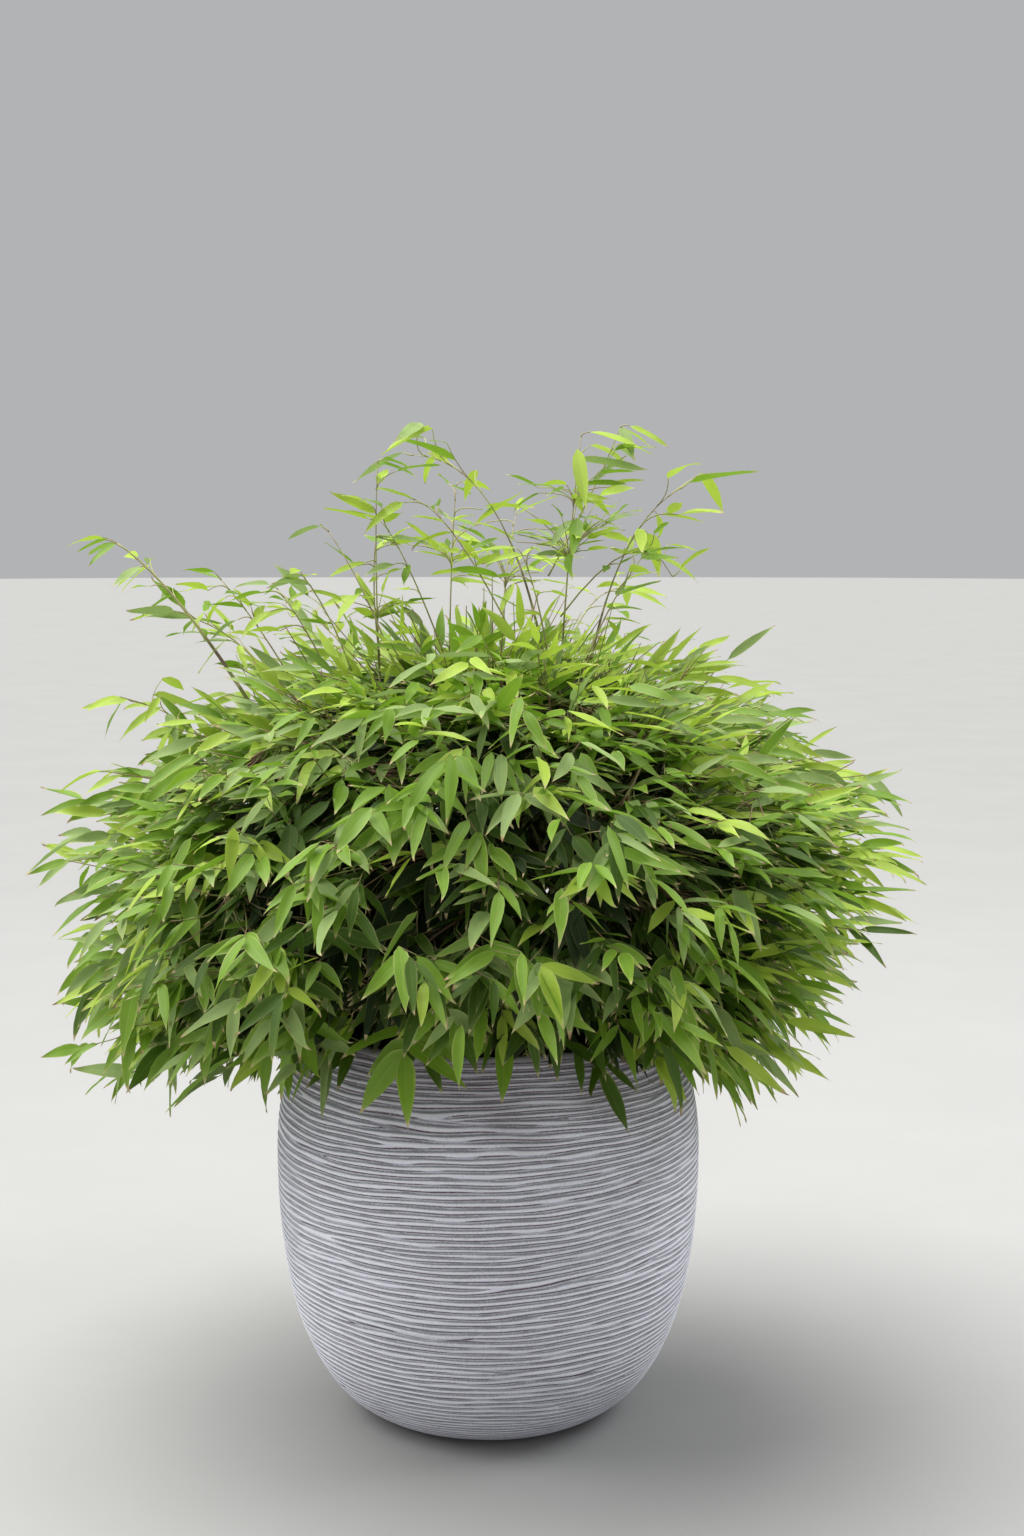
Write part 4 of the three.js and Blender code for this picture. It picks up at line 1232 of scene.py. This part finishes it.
def cane_curves():
    """The controls of every cane, and the node that each replaces."""
    rows, names = [], []
    for layer, spec in LAYERS.items():
        for n in range(spec["count"]):
            rows.append(layer_cane(spec, n)[1])
            names.append(f"{layer}_cane_{n + 1}")
    rows.append([at(0, r, z) for r, z in TOP_CANE])
    names.append("top_cane")
    rows.extend(zip(*shoot_halves()[0]))
    names.extend(f"shoot_cane_{n + 1}" for n in range(len(SHOOTS)))
    return np.array(rows), names


class BAMBOO_OT_canes(bpy.types.Operator):
    """Build the canes that carry the crown"""

    bl_idname = "bamboo.canes"
    bl_label = "Canes"

    def execute(self, context):
        look = context.scene.bamboo_canes
        curves, names = cane_curves()
        count = len(curves)
        t = np.linspace(0, 1, CANE_STEPS)[None] + np.zeros((count, 1))
        centres = bezier(curves[:, 0], curves[:, 1], curves[:, 2], t)
        stride = np.linalg.norm(np.diff(centres, axis=1), axis=2)
        run = np.concatenate([np.zeros((count, 1)), np.cumsum(stride, axis=1)], axis=1)
        plain = count - len(SHOOTS)
        thick, thin = CANE_RADII
        young, point = SHOOT_RADII
        radius = thick - (thick - thin) * t
        radius[plain:] = young - (young - point * SPRIGS[:, 7:]) * t[plain:]
        # a cane swells at each joint and draws in above it, and a pale sheath ends there
        phase = (run / look.joint_spacing + draw(np.arange(count), 5)[:, None]) % 1
        radius = radius * (1 + 0.22 * bump(phase, 0.5, 0.05) - 0.05 * bump(phase, 0.6, 0.1))
        corners, faces = tubes(centres, radius, CANE_SIDES)
        joint = bump(phase, 0.42, 0.11)
        joint = np.concatenate([np.repeat(joint, CANE_SIDES, axis=1), joint[:, :1], joint[:, -1:]], axis=1)
        piece = put_mesh("canes", corners, faces, [cane_finish(look)], values={"joint": joint.ravel()})
        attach(piece, "root")
        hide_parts(*names)
        return {"FINISHED"}


class BAMBOO_OT_crown(bpy.types.Operator):
    """Grow the masses of the crown: skirt, middle, upper and top"""

    bl_idname = "bamboo.crown"
    bl_label = "Crown"

    def execute(self, context):
        sizes, look = context.scene.bamboo_leaves, context.scene.bamboo_canes
        finishes = leaf_finishes(sizes)
        bark = twig_finish("twig_bark", (look.twig_colour, look.cane_colour))
        twigs = {"skirt": sizes.skirt_twigs, "middle": sizes.middle_twigs, "upper": sizes.upper_twigs}
        for layer, spec in LAYERS.items():
            leaves, thick, thin = [], [], []
            half = 180 / spec["count"]
            for n in range(spec["count"]):
                azimuth, (_, bend, tip) = layer_cane(spec, n)
                stem = (tip, tip + 0.024 * unit(tip - bend), at(azimuth, *spec["core"]))
                leaf, wood, fine = grow_mass(
                    sizes, stem, (azimuth - half, azimuth + half), spec["elevations"],
                    spec["boughs"], twigs[layer], spec["seed"] * 100 + n * 40
                )
                leaves.append(leaf)
                thick += wood
                thin.append(fine)
            if layer == "skirt":
                leaf, fine = hanging_sprays(sizes)
                leaves.append(leaf)
                thin.append(fine)
            nodes = [f"{layer}_foliage_{n + 1}" for n in range(spec["count"])]
            dress(layer, leaves, thick, thin, nodes, finishes, bark)
        stem = [at(0, r, z) for r, z in TOP_STEM]
        leaf, wood, fine = grow_mass(
            sizes, stem, (-180, 180), TOP_ELEVATIONS, TOP_BOUGHS, sizes.top_twigs, TOP_SEED
        )
        dress("top", [leaf], wood, [fine, straws(*STRAWS)], ["top_foliage"], finishes, bark)
        return {"FINISHED"}


def tufts(sizes, stem, shares, turns, rise, spans, fewest, more, size, pitch, seed):
    """Side twigs from one stem, at shares of it: each turned from its course, rising, with a few
    leaves on its end."""
    a, b, c = (control[None] for control in stem)
    seeds = seed + 1.37 * np.arange(len(shares))
    t = np.asarray(shares, float)[None]
    root = bezier(a, b, c, t)[0]
    along = unit(bezier(a, b, c, t + 0.01) - bezier(a, b, c, t - 0.01))[0]
    course = azimuth_of(along) + turns
    end = root + heading(course, rise) * spans[:, None]
    curve = (root, root + along * 0.4 * spans[:, None], end)
    hang = pitch + 0.35 * rise + 24 * sway(seeds, 6)
    count = (fewest + np.floor(more * draw(seeds, 8))).astype(int)
    long = (0.82 + 0.34 * draw(seeds, 7)) * size * sizes.leaf_length
    slim = np.full(len(seeds), 0.92)
    step = 0.010 + 0.012 * draw(seeds, 9)
    chance = draw(seeds, 140)
    kind = np.where(chance < 0.74, BRIGHT_YOUNG_AND_LIT, FRESH)
    other = np.where(chance < 0.3, FRESH, GLAUCOUS_AND_SHEEN)
    return fans(sizes, curve, seeds, course, hang, count, long, slim, 0 * slim, step, kind, other), curve


def along_stem(sizes, stem, row, seed):
    """Tufts in turn to either side of a stem, up to its tip. row is as in SPRIGS."""
    count, start, span, fewest, more, size, pitch = row[:7]
    k = np.arange(int(count))
    shares = 1 - (1 - start) * (k / max(count - 1, 1)) ** 0.9
    hand = np.where(k % 2 > 0, 1.0, -1.0)
    turns = np.where(k > 0, hand * (35 + 50 * draw(seed + k, 1)), 8 * sway(seed, 1))
    rise = 26 + 26 * sway(seed + k, 2)
    spans = np.where(k > 0, span * (0.5 + 1.0 * draw(seed + k, 3)), 0.010)
    return tufts(sizes, stem, shares, turns, rise, spans, fewest, more, size, pitch, seed)


def whorl(sizes, stem, share, count, span, seed):
    """Thin branches all round one joint, rising, with small leaves."""
    k = np.arange(int(count))
    turns = 360 * k / count + 25 * sway(seed + k, 1)
    rise = 42 + 26 * sway(seed + k, 2)
    spans = span * (0.5 + draw(seed + k, 3))
    return tufts(sizes, stem, share + 0.01 * sway(seed + k, 4), turns, rise, spans, *WHORL_LEAVES, seed)


class BAMBOO_OT_shoots(bpy.types.Operator):
    """Grow the loose shoots and the side twigs that stand out of the crown"""

    bl_idname = "bamboo.shoots"
    bl_label = "Shoots"

    def execute(self, context):
        sizes, look = context.scene.bamboo_leaves, context.scene.bamboo_canes
        stems = shoot_halves()[1]
        side_stems = [[at(*row[i : i + 3]) for i in (0, 3, 6)] for row in SIDE_TWIGS]
        grown = []
        for n, row in enumerate(SPRIGS):
            grown.append(along_stem(sizes, [control[n] for control in stems], row, 5000 + 60 * n))
        for n, (shoot, share, count, span) in enumerate(WHORLS):
            stem = [control[int(shoot)] for control in stems]
            grown.append(whorl(sizes, stem, share, count, span, 6000 + 50 * n))
        for n, (row, stem) in enumerate(zip(SIDE_TWIGS, side_stems)):
            grown.append(along_stem(sizes, stem, (row[9] + 2, *SIDE_TWIG_LEAVES), 7000 + 70 * n))
        leaves, thin = zip(*grown)
        thick = [stems] + [tuple(control[None] for control in stem) for stem in side_stems]
        young = leaf_finishes(sizes)
        bark = twig_finish("shoot_bark", (shade(look.sheath_colour, 0.72), look.shoot_colour))
        nodes = [f"shoot_foliage_{n + 1}" for n in range(len(SHOOTS))]
        stout = np.concatenate([SPRIGS[:, 7:], np.ones((len(SIDE_TWIGS), 1))])
        radii = [radius * stout for radius in STEM_RADII]
        dress("shoot", leaves, thick, thin, nodes, young, bark, radii)
        return {"FINISHED"}


def studio_floor(look):
    """A flat round floor of rings that widen outwards, with a pole in the middle."""
    ring = np.array([0.5, 1, 2, 4, 8, 16, 30.0])[:, None]
    angle = np.radians(np.arange(0, 360, 10))
    columns = len(angle)
    points = np.stack([ring * np.sin(angle), -ring * np.cos(angle), 0 * ring * angle], -1).reshape(-1, 3)
    corners = np.concatenate([points, [[0, 0, 0]]])
    faces = np.concatenate([ring_walls(len(ring), columns), ring_cap(len(points), 0, columns)])
    f = Finish("studio_floor")
    dust = f.noise(f.place(), 3.0, 4.0, 0.6)
    colour = f.mix(dust.over(0.5, 0.6), shade(look.floor_colour, 0.97), shade(look.floor_colour, 1.02))
    return put_mesh("studio_floor", corners, faces[:, ::-1], [f.shader(colour, 0.92)])


def add_lamp(name, kind, settings, place, turn):
    """A lamp with its settings, at a place and turned by three angles in radians."""
    data = bpy.data.lights.new(name, kind)
    for key, value in settings.items():
        setattr(data, key, value)
    lamp = bpy.data.objects.new(name, data)
    lamp.location = place
    lamp.rotation_euler = turn
    bpy.context.scene.collection.objects.link(lamp)


def aimed(place, target):
    """The three angles that turn a lamp from its place to a target: the arc cosine of how far the way
    back rises, and the bearing of that way."""
    back = unit(np.subtract(place, target))
    return float(np.arccos(back[2])), 0, float(np.arctan2(back[0], -back[1]))


class BAMBOO_OT_stage(bpy.types.Operator):
    """Set up the floor, the light and the camera"""

    bl_idname = "bamboo.stage"
    bl_label = "Stage"

    def execute(self, context):
        look = context.scene.bamboo_stage
        floor = studio_floor(look)

        world = bpy.data.worlds.new("studio")
        context.scene.world = world
        world.use_nodes = True
        sky = world.node_tree.nodes["Background"]
        sky.inputs["Color"].default_value = SKY_TINT
        sky.inputs["Strength"].default_value = look.sky_strength
        context.scene.view_settings.view_transform = "Standard"
        soft = {"energy": look.overcast, "angle": float(np.radians(SUN_SPREAD)), "color": SUN_TINT}
        add_lamp("overcast", "SUN", soft, (0, 0, 0), [float(turn) for turn in np.radians(SUN_TURN)])
        for name, place, share, tint in SIDE_LAMPS:
            disk = {"shape": "DISK", "size": LAMP_SIZE, "energy": look.lamp_power * share, "color": tint}
            add_lamp(name, "AREA", disk, place, aimed(place, LAMP_TARGET))

        data = bpy.data.cameras.new("camera")
        data.lens, data.sensor_width = look.lens, SENSOR_WIDTH
        data.clip_start, data.clip_end = 0.05, 100
        camera = bpy.data.objects.new("camera", data)
        camera.location = CAMERA_PLACE
        camera.rotation_euler = (float(np.radians(CAMERA_TILT)), 0, 0)
        context.scene.collection.objects.link(camera)
        context.scene.camera = camera
        return {"FINISHED"}


PIECES = (BAMBOO_OT_stage, BAMBOO_OT_pot, BAMBOO_OT_soil, BAMBOO_OT_canes, BAMBOO_OT_crown, BAMBOO_OT_shoots)


class BAMBOO_PT_panel(bpy.types.Panel):
    """Potted bamboo"""

    bl_idname = "BAMBOO_PT_panel"
    bl_label = "Potted Bamboo"
    bl_space_type = "VIEW_3D"
    bl_region_type = "UI"
    bl_category = "Bamboo"

    def draw(self, context):
        for piece in PIECES:
            self.layout.operator(piece.bl_idname)
        for name, group in SETTINGS.items():
            box = self.layout.box()
            box.label(text=group.__doc__)
            for key in group.__annotations__:
                box.prop(getattr(context.scene, name), key)


def register():
    """Registers the settings, the operators and the panel."""
    for group in SETTINGS.values():
        bpy.utils.register_class(group)
    for name, group in SETTINGS.items():
        setattr(bpy.types.Scene, name, bpy.props.PointerProperty(type=group))
    for cls in (*PIECES, BAMBOO_PT_panel):
        bpy.utils.register_class(cls)


def unregister():
    """Takes back what register has done, in the opposite order."""
    for cls in (BAMBOO_PT_panel, *reversed(PIECES)):
        bpy.utils.unregister_class(cls)
    for name, group in SETTINGS.items():
        delattr(bpy.types.Scene, name)
        bpy.utils.unregister_class(group)


def main():
    """Builds every piece in turn."""
    register()
    for piece in PIECES:
        area, name = piece.bl_idname.split(".")
        getattr(getattr(bpy.ops, area), name)()


if __name__ == "__main__":
    main()
